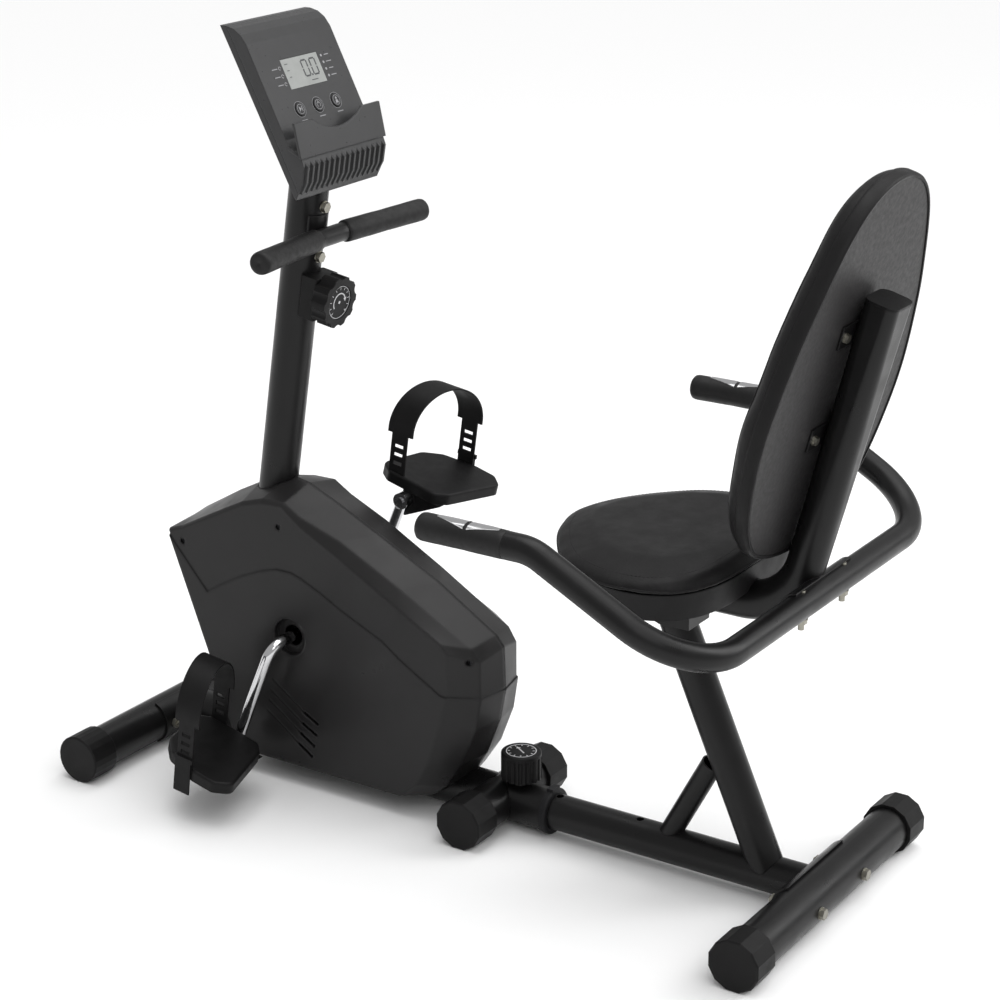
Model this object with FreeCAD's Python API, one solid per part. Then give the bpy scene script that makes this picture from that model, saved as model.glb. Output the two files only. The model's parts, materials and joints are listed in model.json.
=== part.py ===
import FreeCAD, Part
import math
import os
from FreeCAD import Matrix, Placement, Rotation, Vector

# Recumbent exercise bike.  Millimetres, +Z up, +Y forward (the way the rider faces),
# +X to the rider's right.  While modelling, y = 0 is the axis of the rear stabilizer and
# z = 0 the floor.  export() moves every piece so that the origin is at the bottom centre.

# ---- driving dimensions -------------------------------------------------------------
BEAM_Z = 33.0                                  # height of the main beam's axis
BEAM_R, BEAM_WALL = 30.0, 2.5
SLIDE_R, SLIDE_WALL = 25.0, 2.5
SLEEVE_END_Y = 413.0                           # rear end of the beam, where the slide tube enters
SLIDE_FRONT_Y = 640.0
HOLE_PITCH, HOLE_R, PIN_R = 63.2, 5.3, 5.0
HOLE_STEPS = (-3, -1, 0, 1, 2)                 # the holes, counted forward from the pin
PIN_Y = 460.0
PIN_CLEAR = 0.6                                # the pin's tip above the slide tube, pulled out

FOOT_R, FOOT_WALL, FOOT_Z = 30.0, 2.0, 34.5    # stabilizer tubes
CAP_R, CAP_LENGTH, CAP_WALL = 34.5, 46.0, 4.0  # their end caps
REAR_FOOT_HALF, MID_FOOT_HALF, FRONT_FOOT_HALF = 240.0, 114.0, 238.0
MID_FOOT_Y, FRONT_FOOT_Y = 490.0, 1063.0
SADDLE_HALF, SADDLE_T = 78.0, 3.0
FOOT_BOLT_X = 62.0

MAST_R, MAST_WALL = 27.3, 2.2
MAST_FLOOR_Y, MAST_LEAN = 936.3, 9.25          # axis at floor level, degrees back from vertical
STUB_R, STUB_WALL = 25.0, 2.5
STUB_TOP_Z, POST_BOTTOM_Z = 425.0, 300.0

CRANK_Y, CRANK_Z = 802.0, 225.0
CRANK_LENGTH, CRANK_ANGLE = 175.0, 22.5        # from vertical; left arm down and forward
CRANK_ROD_R = 8.3
CRANK_BEND_X, CRANK_EYE_X = 110.0, 114.0
SHELL_R, SHELL_WALL, SHELL_HALF = 26.0, 3.0, 32.0
BALL_R, BALL_RING_R, BALLS = 3.15, 16.5, 11

FLYWHEEL_Y, FLYWHEEL_Z, FLYWHEEL_R = 655.0, 192.0, 100.0
FLYWHEEL_AXLE_R = 6.0
PULLEY_R, SMALL_PULLEY_R = 90.0, 15.0          # belt ratio 6
BELT_X, BELT_WIDTH, BELT_T, BELT_GAP = 44.0, 12.0, 2.5, 0.3

SEAT_POST_R, BRACE_R = 24.0, 15.0
SEAT_POST_FOOT, SEAT_POST_HEAD = (79.0, 40.0), (224.0, 368.0)     # (y, z)
BRACE_FOOT, BRACE_HEAD = (226.0, 47.0), (163.0, 168.0)
BACK_TUBE_R, BACK_TUBE_Z, BACK_BEND_R, BACK_TUBE_WALL = 25.0, 408.0, 90.0, 2.5
BACK_CORNER_Y, BACK_TUBE_FRONT_Y = 56.5, 286.0
BACK_LEAN = 15.0                               # degrees back from vertical
BACK_ROUND_Z, BACK_TUBE_TOP_Z = 500.0, 820.0
BACK_TOP_HALF_X, BACK_TOP_HALF_D = 28.0, 22.0
BACKREST_Y, BACKREST_Z = 58.6, 500.0           # a point of the backrest's rear plane
BOARD_T, BACK_PAD_T = 10.0, 31.0
SEAT_SKIRT_Z, SEAT_BOTTOM_Z, SEAT_BOARD_T, SEAT_PAD_T = 426.0, 440.0, 22.0, 25.0
SEAT_RAIL_HALF = 128.0

ARM_R, ARM_WALL = 17.3, 1.8
ARM_X, ARM_Z, ARM_FRONT_Y, GRIP_REAR_Y = 333.0, 557.0, 386.0, 262.0
ARM_KNEE_Y, ARM_KNEE_R = 229.0, 60.0
ARM_CORNER_X, ARM_CORNER_R = 324.0, 103.0
CROSS_Y, CROSS_Z, CROSS_SADDLE_HALF = 16.0, 441.5, 75.0
GRIP_CORE_R, GRIP_R = 14.5, 17.5

CASING_LOW_HALF, CASING_TAPER, CASING_WALL = 76.0, 0.0282, 2.5   # the side panels lean in
HUB_RECESS_R, HUB_HOLE_R = 27.0, 15.0

BAR_R, BAR_GRIP_R = 12.7, 15.3
BAR_MAST_Z, BAR_END = 798.5, (179.0, 741.0, 796.0)
KNOB_MAST_Z = 713.0                            # where the tension knob's axis meets the mast
CONSOLE_HALF, CONSOLE_WALL = 90.0, 2.5
FIT_GAP = 0.05                                 # radial clearance of a running fit

PEDAL_SPINDLE_R = 6.0
PEDAL_IN, PEDAL_OUT = 124.0, 251.0             # x of the pedal body's two sides

pieces = {}


def add(name, shape):
    pieces[name] = shape


def weld(host, *others):
    """Join pieces that are welded together into one solid, under the name of the first."""
    pieces[host] = fuse(pieces[host], *[pieces.pop(name) for name in others])


# ---- helpers ------------------------------------------------------------------------
def rod(start, end, radius):
    start, end = Vector(*start), Vector(*end)
    return Part.makeCylinder(radius, (end - start).Length, start, end - start)


def rod_x(x0, x1, y, z, radius):
    return rod((x0, y, z), (x1, y, z), radius)


def hollow(start, end, radius, wall):
    return rod(start, end, radius).cut(rod(start, end, radius - wall))


def box(low, high):
    size = [b - a for a, b in zip(low, high)]
    return Part.makeBox(size[0], size[1], size[2], Vector(*low))


def prism_x(outline, x0, x1):
    """A polygon of (y, z) points, extruded along X."""
    points = [Vector(x0, y, z) for y, z in outline]
    return Part.Face(Part.makePolygon(points + points[:1])).extrude(Vector(x1 - x0, 0, 0))


def mirror_x(shape):
    return shape.mirror(Vector(0, 0, 0), Vector(1, 0, 0))


def both_sides(shape):
    return Part.makeCompound([shape, mirror_x(shape)])


def fuse(first, *others):
    return first.multiFuse(list(others)).removeSplitter()


def rounded_wire(points, radii, closed=False):
    """Straight runs joined by tangent arcs, one radius for each corner."""
    points = [Vector(*p) for p in points]
    count = len(points)
    corners = range(count) if closed else range(1, count - 1)
    cuts = {}
    for i in corners:
        here = points[i]
        back = (points[i - 1] - here).normalize()
        ahead = (points[(i + 1) % count] - here).normalize()
        half = back.getAngle(ahead) / 2
        radius = radii[i if closed else i - 1]
        reach = radius / math.tan(half)
        middle = (back + ahead).normalize()
        centre = here + middle * (radius / math.sin(half))
        cuts[i] = (here + back * reach, centre - middle * radius, here + ahead * reach)
    edges = []
    for i in range(count if closed else count - 1):
        j = (i + 1) % count
        start = cuts[i][2] if i in cuts else points[i]
        end = cuts[j][0] if j in cuts else points[j]
        if (end - start).Length > 1e-6:
            edges.append(Part.makeLine(start, end))
        if j in cuts:
            edges.append(Part.Arc(*cuts[j]).toShape())
    return Part.Wire(edges)


def bent_rod(points, radii, radius):
    path = rounded_wire(points, radii)
    start = Vector(*points[0])
    profile = Part.Wire(Part.makeCircle(radius, start, Vector(*points[1]) - start))
    return path.makePipeShell([profile], True, False)


def bent_tube(points, radii, radius, wall):
    return bent_rod(points, radii, radius).cut(bent_rod(points, radii, radius - wall))


def plate(points, radii, thickness):
    """A closed outline with round corners, extruded by the vector `thickness`."""
    return Part.Face(rounded_wire(points, radii, closed=True)).extrude(Vector(*thickness))


def hexagon(start, along, corner_radius, height):
    turn = Rotation(Vector(0, 0, 1), along)
    ring = [start + turn.multVec(Vector(corner_radius * math.cos(math.radians(a)),
                                        corner_radius * math.sin(math.radians(a)), 0))
            for a in range(0, 360, 60)]
    return Part.Face(Part.makePolygon(ring + ring[:1])).extrude(along * height)


def bolt(seat, along, length, radius, nut_at=None):
    """A hexagon-headed bolt and washer.  `seat` is where the washer sits and `along` points
    out through the head.  nut_at is the distance of the nut's face behind the seat."""
    seat, along = Vector(*seat), Vector(*along).normalize()
    parts = [Part.makeCylinder(radius, length, seat, -along),
             Part.makeCylinder(radius * 2.1, 1.6, seat, along),
             hexagon(seat + along * 1.6, along, radius * 1.9, radius * 1.3)]
    if nut_at is not None:
        parts.append(hexagon(seat - along * nut_at, -along, radius * 1.9, radius * 1.6))
    return fuse(*parts)


def mast_point(z, off=0.0, x=0.0):
    """The point of the mast's axis at height z, moved `off` square to it, forward."""
    lean = math.radians(MAST_LEAN)
    y = MAST_FLOOR_Y - z * math.tan(lean)
    return Vector(x, y + off * math.cos(lean), z + off * math.sin(lean))


MAST_UP = Vector(0, -math.sin(math.radians(MAST_LEAN)), math.cos(math.radians(MAST_LEAN)))
MAST_REAR = Vector(0, -math.cos(math.radians(MAST_LEAN)), -math.sin(math.radians(MAST_LEAN)))


def mast_rod(z0, z1, radius):
    return rod(mast_point(z0), mast_point(z1), radius)


BEAM_AXIS = ((0, SLEEVE_END_Y, BEAM_Z), (0, FRONT_FOOT_Y, BEAM_Z))


# ---- stabilizers --------------------------------------------------------------------
def end_cap(y, half, sides):
    """A moulded cap of `sides` flats, one of them on the floor."""
    inner_x = half - CAP_LENGTH
    corner = CAP_R / math.cos(math.pi / sides)
    turns = [math.pi * (2 * i + 1) / sides for i in range(sides)]
    ring = [(y + corner * math.sin(a), FOOT_Z + corner * math.cos(a)) for a in turns]
    cap = prism_x(ring, inner_x, half)
    rim = [e for e in cap.Edges if all(abs(v.X - half) < 1e-6 for v in e.Vertexes)]
    cap = cap.makeChamfer(2.0, rim)
    return cap.cut(rod_x(inner_x, half - CAP_WALL, y, FOOT_Z, FOOT_R + FIT_GAP))


def stabilizer(name, y, half, sides, saddle_side):
    """A cross tube, its two caps, and the curved saddle that the frame tube is welded to."""
    tube = hollow((-half + CAP_WALL, y, FOOT_Z), (half - CAP_WALL, y, FOOT_Z), FOOT_R, FOOT_WALL)
    saddle_r = FOOT_R + SADDLE_T
    saddle = rod_x(-SADDLE_HALF, SADDLE_HALF, y, FOOT_Z, saddle_r)
    saddle = saddle.cut(rod_x(-SADDLE_HALF, SADDLE_HALF, y, FOOT_Z, FOOT_R))
    near, far = sorted((y + saddle_side * 10.0, y + saddle_side * 40.0))
    saddle = saddle.common(box((-SADDLE_HALF, near, 0), (SADDLE_HALF, far, 80)))
    bolts = []
    for x in (-FOOT_BOLT_X, FOOT_BOLT_X):
        seat = (x, y - saddle_side * (FOOT_R - 0.2), FOOT_Z)
        fastener = bolt(seat, (0, -saddle_side, 0), 2 * saddle_r + 6, 4.0, nut_at=2 * saddle_r - 3.2)
        hole = rod((x, y - 45, FOOT_Z), (x, y + 45, FOOT_Z), 4.0)
        tube, saddle = tube.cut(fastener).cut(hole), saddle.cut(fastener).cut(hole)
        bolts.append(fastener)
    add(name + "_tube", tube)
    add(name + "_caps", both_sides(end_cap(y, half, sides)))
    add(name + "_saddle", saddle)
    return bolts


def mid_foot():
    """Two short stubs welded to the beam's sides, with the same caps."""
    stub = hollow((0, MID_FOOT_Y, FOOT_Z), (MID_FOOT_HALF - CAP_WALL, MID_FOOT_Y, FOOT_Z),
                  FOOT_R, FOOT_WALL)
    stub = stub.cut(rod(*BEAM_AXIS, BEAM_R))
    stub = stub.common(box((0, 0, 0), (MID_FOOT_HALF, 1000, 80)))
    biggest = max(stub.Solids, key=lambda s: s.Volume)
    add("mid_foot_stubs", both_sides(biggest))
    add("mid_foot_caps", both_sides(end_cap(MID_FOOT_Y, MID_FOOT_HALF, 12)))


# ---- beam, slide tube and their lock ------------------------------------------------
def pin_hole(y):
    return rod((0, y, BEAM_Z), (0, y, BEAM_Z + 60), HOLE_R)


def beam():
    front = FRONT_FOOT_Y - 12
    tube = hollow((0, SLEEVE_END_Y, BEAM_Z), (0, front, BEAM_Z), BEAM_R, BEAM_WALL)
    tube = tube.cut(rod_x(-60, 60, FRONT_FOOT_Y, FOOT_Z, FOOT_R + SADDLE_T))
    tube = tube.cut(rod((0, PIN_Y, BEAM_Z), (0, PIN_Y, 90), PIN_R + FIT_GAP))
    add("main_beam", max(tube.Solids, key=lambda s: s.Volume))

    boss_top = BEAM_Z + BEAM_R + 7
    boss = rod((0, PIN_Y, BEAM_Z), (0, PIN_Y, boss_top), 11)
    boss = boss.cut(rod(*BEAM_AXIS, BEAM_R)).cut(rod((0, PIN_Y, BEAM_Z), (0, PIN_Y, 90), PIN_R + FIT_GAP))
    add("pin_boss", max(boss.Solids, key=lambda s: s.BoundBox.ZMax))

    liner_r, flange_r, flange_t = BEAM_R - BEAM_WALL, BEAM_R + 2.5, 10.0
    liner = rod((0, SLEEVE_END_Y - flange_t, BEAM_Z), (0, SLEEVE_END_Y, BEAM_Z), flange_r)
    liner = liner.makeFillet(3.0, [e for e in liner.Edges if e.BoundBox.YMax < SLEEVE_END_Y - 5
                                   and e.BoundBox.YLength < 1])
    clip = box((-9, SLEEVE_END_Y - flange_t, BEAM_Z + 20), (9, SLEEVE_END_Y, BEAM_Z + flange_r + 3))
    liner = fuse(liner, clip, rod((0, SLEEVE_END_Y, BEAM_Z), (0, SLEEVE_END_Y + 85, BEAM_Z), liner_r))
    liner = liner.cut(rod((0, 300, BEAM_Z), (0, 600, BEAM_Z), SLIDE_R + FIT_GAP)).cut(pin_hole(PIN_Y))
    add("sleeve_liner", liner)


def slide_tube():
    tube = hollow((0, 12, BEAM_Z), (0, SLIDE_FRONT_Y, BEAM_Z), SLIDE_R, SLIDE_WALL)
    tube = tube.cut(rod_x(-60, 60, 0, FOOT_Z, FOOT_R + SADDLE_T))
    for step in HOLE_STEPS:
        tube = tube.cut(pin_hole(PIN_Y + step * HOLE_PITCH))
    add("slide_tube", max(tube.Solids, key=lambda s: s.Volume))


def adjust_knob():
    bottom, top, radius, flutes = 70.5, 109.6, 28.0, 18
    pin_bottom = BEAM_Z + SLIDE_R + PIN_CLEAR
    knob = rod((0, PIN_Y, bottom), (0, PIN_Y, top), radius)
    for i in range(flutes):
        a = 2 * math.pi * i / flutes
        x, y = (radius + 1.4) * math.sin(a), PIN_Y + (radius + 1.4) * math.cos(a)
        knob = knob.cut(rod((x, y, bottom), (x, y, top - 6), 3.4))
    rim = [e for e in knob.Edges if e.BoundBox.ZMin > top - 0.01]
    knob = knob.makeFillet(2.5, rim)
    knob = knob.cut(rod((0, PIN_Y, bottom), (0, PIN_Y, bottom + 26), 14))
    knob = knob.cut(rod((0, PIN_Y, bottom), (0, PIN_Y, top - 8), PIN_R))
    add("adjust_knob", knob)
    add("adjust_pin", rod((0, PIN_Y, pin_bottom), (0, PIN_Y, top - 8), PIN_R))


# ---- mast, crank shell and flywheel bracket -----------------------------------------
def mast():
    stub = mast_rod(20, STUB_TOP_Z, STUB_R).cut(mast_rod(10, STUB_TOP_Z + 10, STUB_R - STUB_WALL))
    stub = stub.cut(rod(*BEAM_AXIS, BEAM_R))
    add("mast_stub", max(stub.Solids, key=lambda s: s.BoundBox.ZMax))

    post = mast_rod(POST_BOTTOM_Z, 990, MAST_R)
    bore = mast_rod(POST_BOTTOM_Z - 10, 1000, MAST_R - MAST_WALL)
    flange_front = console_slice(-48, 40, -4.2, -0.2, 36, mast_point(928))
    post = post.cut(console_slice(-400, 400, -4.2, 200, 60))
    post = post.cut(bore)
    add("handlebar_post", fuse(post, flange_front))


def crank_shell():
    """The bearing tube that the crank turns in, on two gusset plates between beam and mast."""
    shell = rod_x(-SHELL_HALF, SHELL_HALF, CRANK_Y, CRANK_Z, SHELL_R)
    shell = shell.cut(rod_x(-SHELL_HALF, SHELL_HALF, CRANK_Y, CRANK_Z, SHELL_R - SHELL_WALL))
    add("crank_bracket", shell)
    outline = [(790, 50), (880, 50), (900, 190), (890, 225), (802, 252), (780, 237)]
    gusset = prism_x(outline, 20, 24)
    gusset = gusset.cut(rod_x(0, 60, CRANK_Y, CRANK_Z, SHELL_R)).cut(rod(*BEAM_AXIS, BEAM_R))
    gusset = gusset.cut(mast_rod(20, 400, STUB_R)).cut(rod_x(0, 60, 838, 130, 20))
    gusset = max(gusset.Solids, key=lambda s: s.Volume)
    add("crank_gussets", both_sides(gusset))


def flywheel_bracket():
    base_z = BEAM_Z + BEAM_R - 0.5
    left, right = -32.0, 54.0
    base = box((left, FLYWHEEL_Y - 45, base_z), (right + 4, FLYWHEEL_Y + 45, base_z + 4))
    upright = [(FLYWHEEL_Y - 45, base_z + 4), (FLYWHEEL_Y + 45, base_z + 4),
               (FLYWHEEL_Y + 16, FLYWHEEL_Z + 18), (FLYWHEEL_Y - 16, FLYWHEEL_Z + 18)]
    bracket = fuse(base, prism_x(upright, left, left + 4), prism_x(upright, right, right + 4))
    bracket = bracket.cut(rod(*BEAM_AXIS, BEAM_R))
    bracket = bracket.cut(rod_x(-60, 90, FLYWHEEL_Y, FLYWHEEL_Z, FLYWHEEL_AXLE_R))
    add("flywheel_bracket", max(bracket.Solids, key=lambda s: s.Volume))
    axle = rod_x(left - 9, right + 12, FLYWHEEL_Y, FLYWHEEL_Z, FLYWHEEL_AXLE_R)
    nuts = [hexagon(Vector(x, FLYWHEEL_Y, FLYWHEEL_Z), Vector(way, 0, 0), 11, 6)
            for x, way in ((left, -1), (right + 4, 1))]
    add("flywheel_axle", fuse(axle, *nuts))


# ---- crank, bearings, pulley, belt and flywheel -------------------------------------
def crank_point(x, along):
    """A point of the left crank arm's line, `along` from the crank axis."""
    a = math.radians(CRANK_ANGLE)
    return (x, CRANK_Y + along * math.sin(a), CRANK_Z - along * math.cos(a))


def right_side(shape):
    """The left arm's shape turned half a turn about the crank axis and mirrored to the right."""
    turned = shape.copy()
    turned.rotate(Vector(0, CRANK_Y, CRANK_Z), Vector(1, 0, 0), 180)
    return mirror_x(turned)


def crank():
    arm = bent_rod([(0, CRANK_Y, CRANK_Z), (-CRANK_BEND_X, CRANK_Y, CRANK_Z),
                    crank_point(-CRANK_EYE_X + 1, CRANK_LENGTH * 0.62), crank_point(-CRANK_EYE_X, CRANK_LENGTH)],
                   [24.0, 60.0], CRANK_ROD_R)
    _, eye_y, eye_z = crank_point(0, CRANK_LENGTH)
    eye = rod_x(-CRANK_EYE_X - 6.5, -CRANK_EYE_X + 6.5, eye_y, eye_z, 12.0)
    arm = arm.cut(rod_x(-CRANK_EYE_X - 40, -CRANK_EYE_X + 40, eye_y, eye_z, 11.5))
    arm = max(arm.Solids, key=lambda s: s.Volume)
    arm = arm.fuse(eye).cut(rod_x(-CRANK_EYE_X - 8, -CRANK_EYE_X + 8, eye_y, eye_z, PEDAL_SPINDLE_R))
    add("crank", fuse(arm, right_side(arm)))

    axle_hole = rod_x(-80, 80, CRANK_Y, CRANK_Z, CRANK_ROD_R)
    cone = rod_x(24, 31, CRANK_Y, CRANK_Z, 13.0).cut(axle_hole)
    locknut = hexagon(Vector(SHELL_HALF, CRANK_Y, CRANK_Z), Vector(1, 0, 0), 15, 4).cut(axle_hole)
    add("crank_cones", Part.makeCompound([cone, mirror_x(cone), locknut, mirror_x(locknut)]))
    cup = rod_x(22, SHELL_HALF, CRANK_Y, CRANK_Z, SHELL_R - SHELL_WALL)
    cup = cup.cut(rod_x(20, 40, CRANK_Y, CRANK_Z, 20.0))
    balls = [cup, mirror_x(cup)]
    for i in range(BALLS):
        a = 2 * math.pi * i / BALLS
        centre = Vector(27.5, CRANK_Y + BALL_RING_R * math.cos(a), CRANK_Z + BALL_RING_R * math.sin(a))
        ball = Part.makeSphere(BALL_R, centre)
        balls += [ball, mirror_x(ball)]
    add("crank_bearings", Part.makeCompound(balls))


def drive_pulley():
    x0, x1 = BELT_X - BELT_WIDTH / 2 - 2, BELT_X + BELT_WIDTH / 2 + 2
    rim = rod_x(x0, x1, CRANK_Y, CRANK_Z, PULLEY_R + 3)
    groove = rod_x(x0 + 2, x1 - 2, CRANK_Y, CRANK_Z, PULLEY_R + 4)
    groove = groove.cut(rod_x(x0 + 2, x1 - 2, CRANK_Y, CRANK_Z, PULLEY_R))
    hollow_side = rod_x(x0, x0 + 5, CRANK_Y, CRANK_Z, PULLEY_R - 8).cut(
        rod_x(x0, x0 + 5, CRANK_Y, CRANK_Z, 24))
    pulley = rim.cut(groove).cut(hollow_side)
    for i in range(5):
        a = 2 * math.pi * i / 5
        y, z = CRANK_Y + 52 * math.cos(a), CRANK_Z + 52 * math.sin(a)
        pulley = pulley.cut(rod_x(x0 - 1, x1 + 1, y, z, 17))
    add("drive_pulley", pulley.cut(rod_x(0, 80, CRANK_Y, CRANK_Z, CRANK_ROD_R)))


def belt_outline(radius_a, radius_b, x0, x1):
    """The hull of two circles, one about the crank and one about the flywheel axle."""
    a, b = (CRANK_Y, CRANK_Z), (FLYWHEEL_Y, FLYWHEEL_Z)
    span = math.hypot(b[0] - a[0], b[1] - a[1])
    heading = math.atan2(b[1] - a[1], b[0] - a[0])
    open_angle = math.acos((radius_a - radius_b) / span)
    corners = [(c[0] + r * math.cos(heading + side * open_angle), c[1] + r * math.sin(heading + side * open_angle))
               for side, pairs in ((1, ((a, radius_a), (b, radius_b))), (-1, ((b, radius_b), (a, radius_a))))
               for c, r in pairs]
    return fuse(prism_x(corners, x0, x1), rod_x(x0, x1, a[0], a[1], radius_a), rod_x(x0, x1, b[0], b[1], radius_b))


def drive_belt():
    x0, x1 = BELT_X - BELT_WIDTH / 2, BELT_X + BELT_WIDTH / 2
    inner = BELT_GAP
    outer = BELT_GAP + BELT_T
    add("drive_belt", belt_outline(PULLEY_R + outer, SMALL_PULLEY_R + outer, x0, x1).cut(
        belt_outline(PULLEY_R + inner, SMALL_PULLEY_R + inner, x0, x1)))


def flywheel():
    y, z = FLYWHEEL_Y, FLYWHEEL_Z
    wheel = rod_x(-13, 13, y, z, FLYWHEEL_R)
    for x0, x1 in ((-13, -4), (4, 13)):
        wheel = wheel.cut(rod_x(x0, x1, y, z, FLYWHEEL_R - 18).cut(rod_x(x0, x1, y, z, 26)))
    for i in range(6):
        a = math.pi * i / 3
        wheel = wheel.cut(rod_x(-20, 20, y + 54 * math.cos(a), z + 54 * math.sin(a), 12))
    hub = rod_x(-20, BELT_X + 8, y, z, SMALL_PULLEY_R)
    add("flywheel", fuse(wheel, hub).cut(rod_x(-30, 60, y, z, FLYWHEEL_AXLE_R + FIT_GAP)))


MAGNET_PIVOT = (FLYWHEEL_Y - 66, FLYWHEEL_Z + 98)


def magnet_brake():
    """A curved arm over the flywheel's rim, with magnets inside it and a return spring."""
    y, z = FLYWHEEL_Y, FLYWHEEL_Z
    py, pz = MAGNET_PIVOT
    inner_r, outer_r = FLYWHEEL_R + 7, FLYWHEEL_R + 11
    arc = rod_x(-16, 16, y, z, outer_r).cut(rod_x(-16, 16, y, z, inner_r))
    arc = arc.common(box((-16, y - 40, z), (16, y + 62, z + 120)))
    arc = max(arc.Solids, key=lambda s: s.Volume)
    ear = prism_x([(py - 9, pz - 9), (py + 9, pz - 9), (y - 30, z + outer_r - 9), (y - 18, z + outer_r - 1),
                   (py + 4, pz + 13), (py - 9, pz + 9)], -3, 3)
    ear = ear.cut(rod_x(-20, 20, y, z, inner_r))
    arm = fuse(arc, ear).cut(rod_x(-10, 10, py, pz, 4 + FIT_GAP))
    add("magnet_arm", arm)
    magnets = []
    for i in range(5):
        a = math.radians(90 - 26 + i * 12)
        block = box((-12, -7, inner_r - 4), (12, 7, inner_r - 0.3))
        block.rotate(Vector(0, 0, 0), Vector(1, 0, 0), math.degrees(a) - 90)
        magnets.append(block.translate(Vector(0, y, z)))
    add("magnets", Part.makeCompound(magnets))
    pivot = rod_x(-20, 20, py, pz, 4)
    strap = box((-22, py - 8, 68), (-18, py + 8, pz + 8)).cut(rod_x(-30, 0, py, pz, 4))
    foot = box((-24, py - 8, BEAM_Z + 22), (-18, py + 8, 68)).cut(rod(*BEAM_AXIS, BEAM_R))
    strap = fuse(strap, max(foot.Solids, key=lambda s: s.Volume))
    add("magnet_pivot", fuse(pivot, strap))
    coil = Part.makeHelix(2.2, 13.2, 6.4)
    wire = Part.Wire(coil)
    section = Part.Wire(Part.makeCircle(0.7, Vector(6.4, 0, 0), Vector(0, 1, 0)))
    spring = wire.makePipeShell([section], True, True)
    spring.Placement = Placement(Vector(4.0, py, pz), Rotation(Vector(0, 1, 0), 90))
    add("magnet_spring", spring)


# ---- casing -------------------------------------------------------------------------
def offset_outline(points, distance):
    """Move every side of a polygon (listed anticlockwise) inwards by `distance`."""
    count = len(points)
    moved = []
    for i in range(count):
        before, here, after = points[i - 1], points[i], points[(i + 1) % count]
        d1 = Vector(here[0] - before[0], here[1] - before[1], 0).normalize()
        d2 = Vector(after[0] - here[0], after[1] - here[1], 0).normalize()
        n1, n2 = Vector(-d1.y, d1.x, 0), Vector(-d2.y, d2.x, 0)
        bisector = (n1 + n2).normalize()
        shift = bisector * (distance / bisector.dot(n1))
        moved.append((here[0] + shift.x, here[1] + shift.y))
    return moved


# Rings of the casing, anticlockwise seen from the right, as (y, z) of the crease round the
# side panel, then (x, y, z) of the shoulder, then (y, z) of the centre seam.
CASING_RINGS = [
    ((900, 32), (62, 902, 32), (903, 32)),
    ((951, 172), (62, 953, 172), (954, 172)),
    ((1021, 342), (62, 1023, 344), (1024, 347)),
    ((997, 349.5), (62, 997, 353), (1003, 362)),
    ((922, 387), (62, 922, 392), (938, 400)),
    ((886, 405), (62, 886, 410), (901, 419)),
    ((850, 415), (61, 850, 421), (845, 440)),
    ((815, 417), (60, 812, 422), (812, 434)),
    ((780, 392), (60, 784, 405), (760, 412)),
    ((712, 359), (54, 720, 381), (692, 380)),
    ((611, 306), (51, 623, 331), (592, 331)),
    ((545, 272), (48, 509, 267), (499, 274)),
    ((535, 260), (46, 495, 248), (486, 258)),
    ((532, 205), (46, 495, 193), (484, 200)),
    ((546, 155), (47, 503, 147), (494, 150)),
    ((566, 90), (50, 526, 91), (517, 91)),
    ((585, 55), (50, 552, 52), (541, 52)),
    ((612, 32), (50, 577, 32), (560, 32)),
]
STEP_LINE = [(950, 261), (925, 277), (889, 297), (852, 313), (825, 321), (799, 321.5), (781, 316), (747, 301.5),
             (712, 284), (678, 269.5), (644, 255), (611, 233), (578, 214.5), (545, 196.5), (480, 195)]


def casing_side(z):
    """Half of the casing's width over its side panels at height z."""
    return CASING_LOW_HALF - CASING_TAPER * (z - 32)


def casing_body(inset):
    """The left half of the casing as one solid, all its surfaces moved in by `inset`."""
    sides = offset_outline([ring[0] for ring in CASING_RINGS], inset)
    shoulders = offset_outline([ring[1][1:] for ring in CASING_RINGS], inset)
    seams = offset_outline([ring[2] for ring in CASING_RINGS], inset)
    rings = [[Vector(inset - casing_side(z), y, z) for y, z in sides],
             [Vector(0.8 * inset - ring[1][0], y, z) for ring, (y, z) in zip(CASING_RINGS, shoulders)],
             [Vector(0, y, z) for y, z in seams]]
    return Part.makeLoft([Part.makePolygon(ring + ring[:1]) for ring in rings], True, True)


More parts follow.
